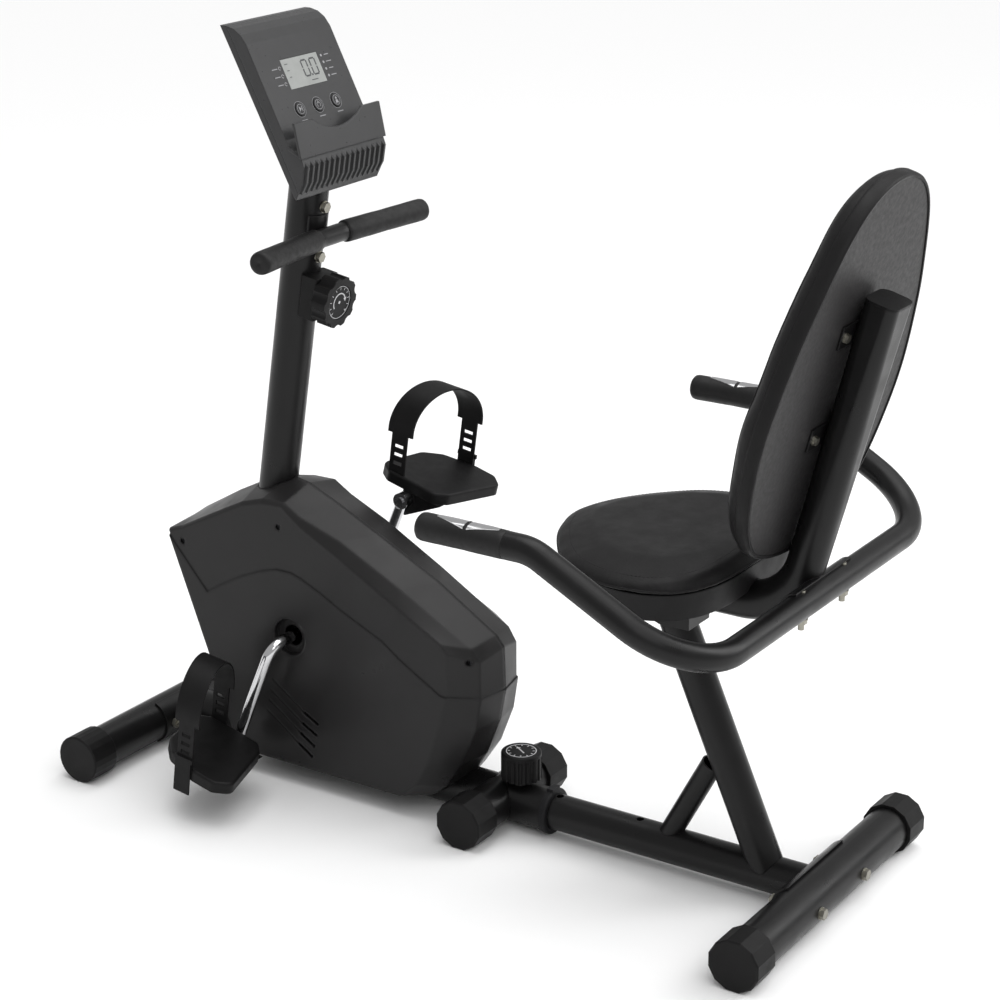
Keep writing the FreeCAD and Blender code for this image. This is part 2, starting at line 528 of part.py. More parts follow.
def casing():
    panel_depth = 1.6
    full, inset = casing_body(0.0), casing_body(panel_depth)
    above = prism_x(STEP_LINE[::-1] + [(1030, 347), (1060, 352), (1060, 480), (480, 480)], -120, 10)
    sunk = above.cut(inset)
    outer = full.cut(sunk)
    shell = outer.cut(casing_body(CASING_WALL + panel_depth))
    shell = shell.cut(rod((0, 300, BEAM_Z), (0, 1200, BEAM_Z), BEAM_R + 0.5))
    shell = shell.cut(mast_rod(300, 600, MAST_R + 0.4)).cut(mast_rod(5, 430, STUB_R + 0.5))
    shell = shell.cut(rod_x(-90, 0, CRANK_Y, CRANK_Z, HUB_HOLE_R))
    shell = shell.cut(rod_x(-90, 0, MID_FOOT_Y, FOOT_Z, CAP_R + 2.5))
    for i in range(4):
        shell = shell.cut(vent_slot(i)).cut(vent_groove(i))
    left = max(shell.Solids, key=lambda s: s.Volume)
    hub_x = -casing_side(CRANK_Z)
    cup = rod_x(hub_x + 1.2, hub_x + 12, CRANK_Y, CRANK_Z, HUB_RECESS_R + 2)
    cup = cup.cut(rod_x(-90, hub_x + 10, CRANK_Y, CRANK_Z, HUB_RECESS_R))
    left = left.cut(rod_x(-90, hub_x + 10, CRANK_Y, CRANK_Z, HUB_RECESS_R))
    left = fuse(left, cup.cut(rod_x(-90, 0, CRANK_Y, CRANK_Z, HUB_HOLE_R)))
    screws = []
    for face_x, y, z in ((-casing_side(329), 994, 329), (-casing_side(384), 820.5, 384), (-54.5, 510, 247)):
        seat_x = face_x + 6.5
        hole = rod_x(face_x - 12, seat_x, y, z, 4.2)
        boss = rod_x(face_x + 4.5, -0.2, y, z, 6.5).cut(hole).cut(rod_x(seat_x, 0, y, z, 1.9))
        left = fuse(left.cut(rod_x(face_x - 12, 0, y, z, 4.2)), boss.common(full))
        shank = rod_x(seat_x, -20, y, z, 1.9)
        head = rod_x(seat_x - 2.4, seat_x, y, z, 3.8)
        head = head.cut(box((seat_x - 3, y - 2.6, z - 0.5), (seat_x - 1.2, y + 2.6, z + 0.5)))
        head = head.cut(box((seat_x - 3, y - 0.5, z - 2.6), (seat_x - 1.2, y + 0.5, z + 2.6)))
        screws.append(fuse(head, shank))
    seam = 0.1
    left = left.common(box((-120, 400, 0), (-seam, 1100, 600)))
    add("casing_left", max(left.Solids, key=lambda s: s.Volume))
    add("casing_right", mirror_x(pieces["casing_left"]))
    add("casing_screws", Part.makeCompound(screws + [mirror_x(s) for s in screws]))


VENT_SLOTS = [((779, 117), (753, 103)), ((782, 99.5), (756, 86)), ((786, 84), (760, 68)), ((789, 67), (764, 51))]


def vent_slot(i):
    """One of four slanted slots low on the side panel."""
    (tip_y, tip_z), (tail_y, tail_z) = VENT_SLOTS[i]
    along = Vector(0, tail_y - tip_y, tail_z - tip_z)
    across = Vector(0, -along.z, along.y).normalize() * 2.5
    start, end = Vector(-90, tip_y, tip_z), Vector(-90, tail_y, tail_z)
    ring = [start + across, end + across, end - across, start - across]
    return Part.Face(Part.makePolygon(ring + ring[:1])).extrude(Vector(30, 0, 0))


def vent_groove(i):
    """A shallow groove that runs up and forward from a slot."""
    y, z = VENT_SLOTS[i][0]
    ring = [(y, z - 1.4), (y + 55, z + 36.6), (y + 55, z + 39.4), (y, z + 1.4)]
    return prism_x(ring, -90, 1.1 - casing_side(z + 19))


# ---- pedals -------------------------------------------------------------------------
PEDAL_TOP, PEDAL_BOTTOM = 28.0, 11.0           # above the spindle
PEDAL_TILT, STRAP_TILT = 15.0, 8.0             # degrees, the top faces the rider
PEDAL_BORE_R, PEDAL_BOSS_R = 8.0, 12.0
PEDAL_OUTLINE = [(PEDAL_IN, 38), (PEDAL_IN, -42), (140, -58), (232, -84), (250, -64), (PEDAL_OUT, -29),
                 (238, 22), (215, 46), (140, 60)]
PEDAL_CORNERS = [14, 14, 14, 12, 14, 20, 20, 20, 14]
STRAP_WIDTH, STRAP_LEG_WIDTH, STRAP_T = 42.0, 27.0, 2.4
STRAP_TOP, STRAP_LEG_TOP, STRAP_SKEW, STRAP_Y = 156.0, 90.0, 0.31, 5.0


def pedal_parts():
    """Body and strap of a left pedal, with the spindle's axis at y = z = 0."""
    outline = [(-x, y, PEDAL_BOTTOM) for x, y in PEDAL_OUTLINE]
    body = plate(outline, PEDAL_CORNERS, (0, 0, PEDAL_TOP - PEDAL_BOTTOM))
    body = body.makeFillet(4.0, [e for e in body.Edges if e.BoundBox.ZMin > PEDAL_TOP - 0.1])
    fin = prism_x([(-55, PEDAL_BOTTOM), (-2, -28), (8, -28), (10, PEDAL_BOTTOM)], -152, -PEDAL_IN - 2)
    boss = rod_x(-212, -PEDAL_IN - 1, 0, 0, PEDAL_BOSS_R)
    body = fuse(body, fin, boss).cut(rod_x(-202, -PEDAL_IN + 1, 0, 0, PEDAL_BORE_R + FIT_GAP))
    body.rotate(Vector(0, 0, 0), Vector(1, 0, 0), PEDAL_TILT)

    inner, outer = -PEDAL_IN - 2.5, -PEDAL_OUT + 1.5
    half, middle = (inner - outer) / 2, (inner + outer) / 2
    low, spring_z = 14.0, STRAP_TOP - 0.98 * half

    def skewed(x, z):
        return Vector(x, STRAP_Y - STRAP_WIDTH / 2 + STRAP_SKEW * (x - middle), z)

    def loop(inset):
        a = half - inset
        rise = 0.98 * half - inset
        arch = Part.Ellipse(skewed(middle + a, spring_z), skewed(middle, spring_z + rise), skewed(middle, spring_z))
        curve = arch.toShape(0, math.pi)
        feet = [skewed(middle - a, low), skewed(middle + a, low)]
        sides = [Part.makeLine(feet[1], skewed(middle + a, spring_z)), Part.makeLine(feet[0], skewed(middle - a, spring_z))]
        wire = Part.Wire(Part.__sortEdges__(sides + [curve, Part.makeLine(feet[0], feet[1])]))
        return Part.Face(wire).extrude(Vector(0, STRAP_WIDTH, 0))

    strap = loop(0.0).cut(loop(STRAP_T)).cut(box((outer + STRAP_T, -200, 0), (inner - STRAP_T, 200, low + 3)))
    for x in (inner, outer):
        y = STRAP_Y + STRAP_SKEW * (x - middle)
        for side in (-1, 1):
            trim = sorted((y + side * STRAP_LEG_WIDTH / 2, y + side * 60))
            strap = strap.cut(box((x - 9, trim[0], 0), (x + 9, trim[1], STRAP_LEG_TOP)))
        for z in (43, 56, 69):
            strap = strap.cut(box((x - 9, y - 7.5, z), (x + 9, y + 7.5, z + 5.5)))
    y = STRAP_Y + STRAP_SKEW * (outer - middle)
    buckle = box((outer - 3.6, y - 16, 33), (outer, y + 16, 39))
    tail = box((outer - 3.6, y - STRAP_LEG_WIDTH / 2, -16), (outer - 1.6, y + STRAP_LEG_WIDTH / 2, 39))
    strap = fuse(strap, buckle, tail)
    strap.rotate(Vector(0, 0, 0), Vector(1, 0, 0), STRAP_TILT)
    strap = max(strap.cut(body).Solids, key=lambda s: s.Volume)
    return body, strap


def pedals():
    _, eye_y, eye_z = crank_point(0, CRANK_LENGTH)
    body, strap = pedal_parts()
    neck = rod_x(-CRANK_EYE_X - 8, -CRANK_EYE_X + 9, 0, 0, PEDAL_SPINDLE_R)
    shaft = rod_x(-200, -CRANK_EYE_X - 6.5, 0, 0, PEDAL_BORE_R)
    spindle = fuse(neck, shaft)
    right_y, right_z = 2 * CRANK_Y - eye_y, 2 * CRANK_Z - eye_z
    body.translate(Vector(0, eye_y, eye_z))
    add("pedal_left", body)
    add("pedal_left_strap", strap.translate(Vector(0, eye_y, eye_z)))
    across = Vector(0, right_y - eye_y, right_z - eye_z)
    add("pedal_right", mirror_x(pieces["pedal_left"]).translate(across))
    add("pedal_right_strap", mirror_x(pieces["pedal_left_strap"]).translate(across))
    left_spindle = spindle.copy().translate(Vector(0, eye_y, eye_z))
    add("pedal_spindles", Part.makeCompound([left_spindle, mirror_x(left_spindle).translate(across)]))


# ---- handlebar, tension knob and console --------------------------------------------
def handlebar():
    end_x, end_y, end_z = BAR_END
    centre = mast_point(BAR_MAST_Z, -(MAST_R + 2.5 + BAR_R - 1.5))
    corner = (24.0, centre.y, centre.z)
    left_corner = (-corner[0], corner[1], corner[2])
    left_end = (-end_x, end_y, end_z)
    bar = bent_tube([left_end, left_corner, corner, BAR_END], [60, 60], BAR_R, 1.8)
    sleeve = mast_rod(BAR_MAST_Z - 23, BAR_MAST_Z + 26, MAST_R + 2.5).cut(mast_rod(700, 900, MAST_R))
    clip = box((-21, 700, 700), (21, centre.y + 26, 900))
    saddle = max(sleeve.common(clip).Solids, key=lambda s: s.Volume)
    solid_bar = bent_rod([left_end, left_corner, corner, BAR_END], [60, 60], BAR_R)
    saddle = saddle.cut(solid_bar)
    bolts = []
    for z in (BAR_MAST_Z - 33, BAR_MAST_Z + 37):
        seat = mast_point(z, -(MAST_R - 0.3))
        fastener = bolt(seat, MAST_REAR, 14, 4.0)
        bolts.append(fastener)
        pieces["handlebar_post"] = pieces["handlebar_post"].cut(fastener)
    add("handlebar", bar)
    add("handlebar_saddle", max(saddle.Solids, key=lambda s: s.Volume))
    direction = (Vector(*left_end) - Vector(*left_corner)).normalize()
    start = Vector(*left_corner) + direction * 7
    stop = Vector(*left_end) + direction * 4
    grip = rod(start, stop, BAR_GRIP_R)
    tip = [e for e in grip.Edges if e.BoundBox.XMax < -end_x + 8 and e.BoundBox.XLength < 8]
    grip = grip.makeFillet(4.0, tip).cut(rod(start, Vector(*left_end), BAR_R))
    add("handlebar_grips", both_sides(grip))
    return bolts


def tension_control():
    near, housing_depth = MAST_R - 8, 46.0
    across = Rotation(Vector(0, 0, 1), MAST_UP)

    def local_block(x_half, off0, off1, up0, up1):
        block = box((-x_half, -off1, up0), (x_half, -off0, up1))
        block.Placement = Placement(mast_point(KNOB_MAST_Z), across).multiply(block.Placement)
        return block

    housing = local_block(24, near, housing_depth, -30, 30)
    housing = housing.makeFillet(3.0, [e for e in housing.Edges if e.Length > 50])
    housing = housing.cut(local_block(21, near, housing_depth - 3, -27, 27))
    axis_start, axis_end = mast_point(KNOB_MAST_Z, -20), mast_point(KNOB_MAST_Z, -90)
    housing = housing.cut(mast_rod(600, 800, MAST_R)).cut(rod(axis_start, axis_end, 6 + FIT_GAP))
    add("tension_housing", max(housing.Solids, key=lambda s: s.Volume))

    radius, lobes = 36.0, 10
    back, face = mast_point(KNOB_MAST_Z, -(housing_depth + 1)), mast_point(KNOB_MAST_Z, -71)
    knob = rod(back, face, radius)
    for i in range(lobes):
        a = 2 * math.pi * (i + 0.5) / lobes
        shift = across.multVec(Vector(math.cos(a), 0, math.sin(a)) * (radius + 7))
        knob = knob.cut(rod(back + shift, face + shift, 10.5))
    knob = knob.cut(rod(mast_point(KNOB_MAST_Z, -69.5), mast_point(KNOB_MAST_Z, -75), 24))
    shaft = rod(mast_point(KNOB_MAST_Z, -(MAST_R + 6)), back, 6)
    add("tension_knob", fuse(knob, shaft))
    cable_path = [tuple(mast_point(KNOB_MAST_Z - 16, -14)), tuple(mast_point(KNOB_MAST_Z - 80, 0)),
                  tuple(mast_point(120, 0))]
    cable = bent_rod(cable_path, [60.0], 2.0)
    add("tension_cable", cable)


# Console profile in (y, z): the back runs straight from the bottom edge to the top edge.
CONSOLE_BOTTOM, CONSOLE_TOP = (750.0, 859.0), (865.0, 1077.5)
CONSOLE_OUTLINE = [CONSOLE_BOTTOM, CONSOLE_TOP, (856, 1077.5), (843, 1074.5), (832, 1067.5), (823, 1056.5),
                   (762.5, 937.5), (750, 925), (740, 919), (734.5, 905), (738, 882)]
CONSOLE_ANGLE = math.atan2(CONSOLE_TOP[0] - CONSOLE_BOTTOM[0], CONSOLE_TOP[1] - CONSOLE_BOTTOM[1])
FACE_TOP, FACE_BOTTOM = (823.0, 1056.5), (762.5, 937.5)


def console_slice(up0, up1, depth0, depth1, half, about=None):
    """A slab parallel to the console's back.  Depth counts from the back into the console;
    negative depth is behind it.  `about` is the point of the back that `up` counts from."""
    base = Vector(0, CONSOLE_BOTTOM[0], CONSOLE_BOTTOM[1])
    up = Vector(0, math.sin(CONSOLE_ANGLE), math.cos(CONSOLE_ANGLE))
    inward = Vector(0, -math.cos(CONSOLE_ANGLE), math.sin(CONSOLE_ANGLE))
    if about is not None:
        base = base + up * (about - base).dot(up)
    corner = base + up * up0 + inward * depth0
    low = Vector(-half, corner.y, corner.z)
    ring = [low, low + up * (up1 - up0), low + up * (up1 - up0) + inward * (depth1 - depth0),
            low + inward * (depth1 - depth0)]
    return Part.Face(Part.makePolygon(ring + ring[:1])).extrude(Vector(2 * half, 0, 0))


def face_point(x, y, depth=0.0):
    """A point on the console's sloping face at the given y, `depth` below its surface."""
    slope = (FACE_TOP[1] - FACE_BOTTOM[1]) / (FACE_TOP[0] - FACE_BOTTOM[0])
    z = FACE_BOTTOM[1] + (y - FACE_BOTTOM[0]) * slope
    normal = FACE_NORMAL
    return Vector(x, y, z) - normal * depth


FACE_UP = Vector(0, FACE_TOP[0] - FACE_BOTTOM[0], FACE_TOP[1] - FACE_BOTTOM[1]).normalize()
FACE_NORMAL = Vector(0, -FACE_UP.z, FACE_UP.y)


def face_block(x0, x1, y0, y1, depth0, depth1):
    """A block let into the console's face between two values of y."""
    low, high = face_point(x0, y0, depth0), face_point(x0, y1, depth0)
    down = FACE_NORMAL * -(depth1 - depth0)
    ring = [low, high, high + down, low + down]
    return Part.Face(Part.makePolygon(ring + ring[:1])).extrude(Vector(x1 - x0, 0, 0))


def console():
    split = 9.0
    outside = prism_x(CONSOLE_OUTLINE, -CONSOLE_HALF, CONSOLE_HALF)
    inside = prism_x(offset_outline(CONSOLE_OUTLINE, CONSOLE_WALL),
                     -CONSOLE_HALF + CONSOLE_WALL, CONSOLE_HALF - CONSOLE_WALL)
    shell = outside.cut(inside)
    rear_part = console_slice(-50, 400, -20, split, 200)
    back = shell.common(rear_part)
    front = shell.cut(console_slice(-50, 400, -20, split + 0.1, 200))

    lens_y = (791.0, 808.8)
    window = face_block(-39, 39, lens_y[0] - 1, lens_y[1] + 1, -3, 6)
    front = front.cut(face_block(-37, 37, lens_y[0] + 0.5, lens_y[1] - 0.5, -3, 8))
    front = front.cut(face_block(-39, 39, lens_y[0] - 0.5, lens_y[1] + 0.5, -3, 1.5))
    lens = face_block(-38.8, 38.8, lens_y[0] - 0.4, lens_y[1] + 0.4, 0.2, 1.4)
    buttons = []
    for x in (-38.7, 0.0, 38.7):
        centre = face_point(x, 778.0)
        hole = Part.makeCylinder(9.3, 12, centre + FACE_NORMAL * 4, FACE_NORMAL * -1)
        front = front.cut(hole)
        cap = Part.makeCylinder(9.0, 6.5, centre + FACE_NORMAL * 1.5, FACE_NORMAL * -1)
        flange = Part.makeCylinder(10.4, 1.2, centre - FACE_NORMAL * 4.4, FACE_NORMAL * -1)
        buttons.append(fuse(cap, flange))
    shelf = console_shelf().cut(inside)
    front = fuse(max(front.Solids, key=lambda s: s.Volume), shelf)
    front = front.cut(console_slice(-50, 400, -20, split + 0.1, 200))
    front = max(front.Solids, key=lambda s: s.Volume)
    add("console_front", front)
    add("console_back", max(back.Solids, key=lambda s: s.Volume))
    add("console_lens", lens)
    for name, button in zip(("left", "middle", "right"), buttons):
        add("button_" + name, button)
    add("console_board", face_block(-70, 70, 770, 816, 8.6, 10.2))
    return window


def console_shelf():
    """The lip that holds a tablet, higher at its two ends, with ribs below it."""
    foot, tip = (736.0, 915.0), (746.0, 961.0)
    half = CONSOLE_HALF + 3
    lip = prism_x([foot, tip, (tip[0] + 3.5, tip[1]), (foot[0] + 4.2, foot[1] + 2)], -half, half)
    dip = Part.makeCylinder(95, 60, Vector(0, 715, tip[1] + 78), Vector(0, 1, 0))
    lip = lip.cut(dip.cut(box((-200, 700, 900), (200, 800, 944))))
    floor = prism_x([foot, (foot[0] + 4, foot[1] + 3.5), (758, 930), (758, 925)], -half, half)
    ribs = []
    count = 16
    for i in range(count):
        x = -CONSOLE_HALF + 6 + i * (2 * CONSOLE_HALF - 12) / (count - 1)
        ribs.append(prism_x([(741, 914), (731, 905), (735, 882), (747, 862)], x - 1.8, x + 1.8))
    return fuse(lip, floor, *ribs)


# ---- seat, backrest and armrest -----------------------------------------------------
BACK_UP = Vector(0, -math.sin(math.radians(BACK_LEAN)), math.cos(math.radians(BACK_LEAN)))
BACK_REAR = Vector(0, -math.cos(math.radians(BACK_LEAN)), -math.sin(math.radians(BACK_LEAN)))


def back_point(z):
    """The back tube's axis at height z, on its upper straight run."""
    return Vector(0, BACK_CORNER_Y - (z - BACK_TUBE_Z) * math.tan(math.radians(BACK_LEAN)), z)


def oval_section(centre, half_x, half_d, corner):
    """A rounded rectangle square to the back tube's upper run."""
    ring = [centre + Vector(sx * half_x, 0, 0) - BACK_REAR * (sd * half_d)
            for sx, sd in ((-1, -1), (1, -1), (1, 1), (-1, 1))]
    return rounded_wire(ring, [corner] * 4, closed=True)


def back_tube_solid(wall):
    """The whole outside of the back tube, shrunk by `wall`."""
    radius = BACK_TUBE_R - wall
    low = [(0, BACK_TUBE_FRONT_Y, BACK_TUBE_Z), (0, BACK_CORNER_Y, BACK_TUBE_Z), tuple(back_point(BACK_ROUND_Z))]
    lower = bent_rod(low, [BACK_BEND_R], radius)
    sections = [oval_section(back_point(z), radius + grow * (BACK_TOP_HALF_X - BACK_TUBE_R),
                             radius + grow * (BACK_TOP_HALF_D - BACK_TUBE_R), (radius - 0.05) * (1 - 0.5 * grow))
                for z, grow in ((BACK_ROUND_Z, 0.0), (BACK_TUBE_TOP_Z, 1.0))]
    return lower, Part.makeLoft(sections, True, True)


def cross_saddle_rod(radius):
    return rod_x(-CROSS_SADDLE_HALF, CROSS_SADDLE_HALF, CROSS_Y, CROSS_Z, radius)


def seat_frame():
    slide = rod((0, 0, BEAM_Z), (0, 700, BEAM_Z), SLIDE_R)
    post_path = [(0, *SEAT_POST_FOOT), (0, *SEAT_POST_HEAD)]
    post = hollow(*post_path, SEAT_POST_R, 2.5).cut(slide)
    post = max(post.Solids, key=lambda s: s.Volume)
    brace = hollow((0, *BRACE_FOOT), (0, *BRACE_HEAD), BRACE_R, 2.0).cut(slide)
    brace = brace.cut(rod(*post_path, SEAT_POST_R))
    add("seat_post", post)
    add("seat_brace", max(brace.Solids, key=lambda s: s.Volume))

    outer, outer_top = back_tube_solid(0.0)
    inner, inner_top = back_tube_solid(BACK_TUBE_WALL)
    tube = fuse(outer.cut(inner), outer_top.cut(inner_top))
    notch = rod_x(-90, 90, CROSS_Y, CROSS_Z, ARM_R + 3.0)
    add("back_tube", max(tube.cut(notch).Solids, key=lambda s: s.Volume))
    top_cap = Part.Face(oval_section(back_point(BACK_TUBE_TOP_Z), BACK_TOP_HALF_X, BACK_TOP_HALF_D, 12.4))
    top_cap = top_cap.extrude(BACK_UP * 3.0)
    front_cap = rod((0, BACK_TUBE_FRONT_Y, BACK_TUBE_Z), (0, BACK_TUBE_FRONT_Y + 3, BACK_TUBE_Z), BACK_TUBE_R)
    add("back_tube_caps", Part.makeCompound([top_cap, front_cap]))

    head = box((-27, 188, 358), (27, 268, 395))
    head = head.cut(outer).cut(rod((0, *SEAT_POST_FOOT), (0, *SEAT_POST_HEAD), SEAT_POST_R))
    slope = prism_x([(188, 358), (268, 358), (268, 372), (232, 358)], -40, 40)
    head = max(head.cut(slope).Solids, key=lambda s: s.Volume)
    rail = box((-SEAT_RAIL_HALF, 170, SEAT_BOTTOM_Z - 12), (SEAT_RAIL_HALF, 200, SEAT_BOTTOM_Z))
    rails = [rail.cut(outer), rail.translate(Vector(0, 70, 0)).cut(outer)]
    add("seat_brackets", Part.makeCompound([head] + rails))

    saddle = cross_saddle_rod(ARM_R + 3.0).cut(cross_saddle_rod(ARM_R))
    saddle = saddle.common(box((-90, CROSS_Y - 1, CROSS_Z - 8), (90, CROSS_Y + 40, CROSS_Z + 40)))
    add("arm_saddle", max(saddle.Solids, key=lambda s: s.Volume))


def smooth_wire(points, z):
    """A closed smooth curve through (x, y) points given for x >= 0, mirrored to the left."""
    ring = [Vector(x, y, z) for x, y in points] + [Vector(-x, y, z) for x, y in points[::-1] if x > 0]
    curve = Part.BSplineCurve()
    curve.interpolate(Points=ring, PeriodicFlag=True)
    return Part.Wire(curve.toShape())


def smooth_outline(points, z0, height, placement=None):
    """The face inside such a curve, extruded upwards."""
    solid = Part.Face(smooth_wire(points, z0)).extrude(Vector(0, 0, height))
    if placement is not None:
        solid.Placement = placement
    return solid


BACKREST_OUTLINE = [(0, -14), (100, 8), (150, 55), (176, 120), (185, 195), (170, 280), (148, 345), (106, 430),
                    (60, 474), (0, 489)]
SEAT_OUTLINE = [(0, 379), (50, 367), (95, 340), (139, 300), (172, 254), (187, 203), (168, 138), (108, 104),
                (0, 100)]


def scaled(outline, factor, about):
    return [(x * factor, about + (y - about) * factor) for x, y in outline]


def seat_pan():
    """The moulded pan under the seat pad, with a skirt round its underside."""
    top_z = SEAT_BOTTOM_Z + SEAT_BOARD_T
    rings = [smooth_wire(scaled(SEAT_OUTLINE, factor, 235), z)
             for factor, z in ((0.93, SEAT_SKIRT_Z), (0.965, top_z))]
    body = Part.makeLoft(rings, True, True)
    under = smooth_outline(scaled(SEAT_OUTLINE, 0.895, 235), SEAT_SKIRT_Z - 5, SEAT_BOTTOM_Z - SEAT_SKIRT_Z + 5)
    body = body.cut(under)
    for solid in back_tube_solid(-0.6):
        body = body.cut(solid)
    return max(body.Solids, key=lambda s: s.Volume)


def upholstery():
    turn = Rotation(Vector(1, 0, 0), 90 + BACK_LEAN)
    place = Placement(Vector(0, BACKREST_Y, BACKREST_Z), turn)
    add("backrest_board", smooth_outline(scaled(BACKREST_OUTLINE, 0.985, 230), -BOARD_T, BOARD_T, place))
    add("backrest_pad", smooth_outline(BACKREST_OUTLINE, -BOARD_T - BACK_PAD_T, BACK_PAD_T, place))
    add("seat_board", seat_pan())
    pad = smooth_outline(SEAT_OUTLINE, SEAT_BOTTOM_Z + SEAT_BOARD_T, SEAT_PAD_T)
    clear = smooth_outline(scaled(BACKREST_OUTLINE, 1.01, 230), -BOARD_T - BACK_PAD_T - 0.5, 200, place)
    add("seat_pad", pad.cut(clear))


def back_brackets():
    """Two strap plates on the back tube, screwed to the backrest board."""
    brackets, screws = [], []
    tube = Part.makeCompound(list(back_tube_solid(0.0)))
    for up in (155.0, 292.0):
        base = Vector(0, BACKREST_Y, BACKREST_Z) + BACK_UP * up
        turn = Placement(base, Rotation(Vector(1, 0, 0), 90 + BACK_LEAN))
        strap = box((-52, -15, 0.1), (52, 15, 3.1))
        strap.Placement = turn
        strap = strap.cut(tube)
        for x in (-42, 42):
            seat = turn.multVec(Vector(x, 0, 3.1))
            screws.append(bolt(seat, BACK_REAR, 10, 3.0))
            strap = strap.cut(screws[-1])
        brackets += strap.Solids
    for screw in screws:
        pieces["backrest_board"] = pieces["backrest_board"].cut(screw)
    add("back_brackets", Part.makeCompound(brackets))
    return screws


def armrest():
    left = [(-ARM_X, ARM_FRONT_Y - 6, ARM_Z), (-ARM_X, ARM_KNEE_Y, ARM_Z), (-ARM_CORNER_X, CROSS_Y, CROSS_Z)]
    path = left + [(-x, y, z) for x, y, z in left[::-1]]
    radii = [ARM_KNEE_R, ARM_CORNER_R, ARM_CORNER_R, ARM_KNEE_R]
    tube = bent_tube(path, radii, ARM_R, ARM_WALL + 1.2)
    for x in (-ARM_X, ARM_X):
        ring = rod((x, GRIP_REAR_Y, ARM_Z), (x, ARM_FRONT_Y + 5, ARM_Z), ARM_R + 5)
        tube = tube.cut(ring.cut(rod((x, 200, ARM_Z), (x, 400, ARM_Z), GRIP_CORE_R + 1.2)))
    grip = rod((-ARM_X, GRIP_REAR_Y, ARM_Z), (-ARM_X, ARM_FRONT_Y, ARM_Z), GRIP_R)
    tip = [e for e in grip.Edges if e.BoundBox.YMin > ARM_FRONT_Y - 1]
    grip = grip.makeFillet(3.0, tip)
    grip = grip.cut(rod((-ARM_X, 200, ARM_Z), (-ARM_X, ARM_FRONT_Y - 6, ARM_Z), GRIP_CORE_R + 1.2))
    plates = []
    for y0, y1, half_0, half_1 in ((272, 313, 3.0, 11.5), (318, 360, 11.5, 3.0)):
        skin = hollow((-ARM_X, y0, ARM_Z), (-ARM_X, y1, ARM_Z), GRIP_R + 0.8, 1.8)
        leaf = [(-half_0, y0), (half_0, y0), (half_1, y1), (-half_1, y1)]
        points = [Vector(x - ARM_X, y, ARM_Z + 4) for x, y in leaf]
        block = Part.Face(Part.makePolygon(points + points[:1])).extrude(Vector(0, 0, 30))
        plates.append(skin.common(block))
        grip = grip.cut(plates[-1])
    add("armrest_grips", both_sides(grip))
    add("pulse_plates", Part.makeCompound(plates + [mirror_x(p) for p in plates]))
    bolts = []
    for x in (-56, 56):
        seat = (x, CROSS_Y, CROSS_Z - ARM_R + 0.1)
        fastener = bolt(seat, (0, 0, -1), 2 * ARM_R + 2.0, 4.0)
        fastener = fastener.fuse(rod(seat, (x, CROSS_Y, seat[2] - 15), 4.0)).removeSplitter()
        tube = tube.cut(fastener)
        pieces["arm_saddle"] = pieces["arm_saddle"].cut(fastener)
        bolts.append(fastener)
    add("armrest_tube", tube)
    return bolts


# ---- build --------------------------------------------------------------------------
def build():
    carriage_bolts = stabilizer("rear_foot", 0.0, REAR_FOOT_HALF, 12, 1)
    frame_bolts = stabilizer("front_foot", FRONT_FOOT_Y, FRONT_FOOT_HALF, 24, -1)
    mid_foot()
    beam()
    slide_tube()
    adjust_knob()
    mast()
    crank_shell()
    flywheel_bracket()
    crank()
    drive_pulley()
    drive_belt()
    flywheel()
    magnet_brake()
    casing()
    pedals()
    frame_bolts += handlebar()
    tension_control()
    console()
    seat_frame()
    upholstery()
    carriage_bolts += back_brackets()
    carriage_bolts += armrest()
    weld("slide_tube", "rear_foot_saddle")
    weld("main_beam", "front_foot_saddle", "pin_boss")
    weld("crank_bracket", "crank_gussets")
    weld("handlebar", "handlebar_saddle")
    weld("seat_post", "seat_brace")
    weld("back_tube", "arm_saddle")
    add("frame_bolts", Part.makeCompound(frame_bolts))
    add("carriage_bolts", Part.makeCompound(carriage_bolts))


def export():
    """Move everything so that the origin is at the bottom centre, and write the STEP files."""
    whole = Part.makeCompound(list(pieces.values())).optimalBoundingBox(False, False)
    shift = Vector(-(whole.XMin + whole.XMax) / 2, -(whole.YMin + whole.YMax) / 2, -whole.ZMin)
    os.makedirs("parts", exist_ok=True)
    for name, shape in pieces.items():
        moved = shape.copy()
        moved.translate(shift)
        solids = moved.Solids
        moved = solids[0] if len(solids) == 1 else Part.makeCompound(solids)
        moved.exportStep("parts/" + name + ".step")
        print("%-20s solids %2d valid %s volume %9.0f" % (name, len(solids), moved.isValid(), moved.Volume))
    print("shift %.3f %.3f %.3f" % tuple(shift), "size %.1f %.1f %.1f" % (whole.XLength, whole.YLength, whole.ZLength))
    print(len(pieces), "pieces")


build()
export()
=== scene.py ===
import bmesh
import bpy
import json
import math
import numpy as np
from mathutils import Matrix, Vector
from mathutils.bvhtree import BVHTree


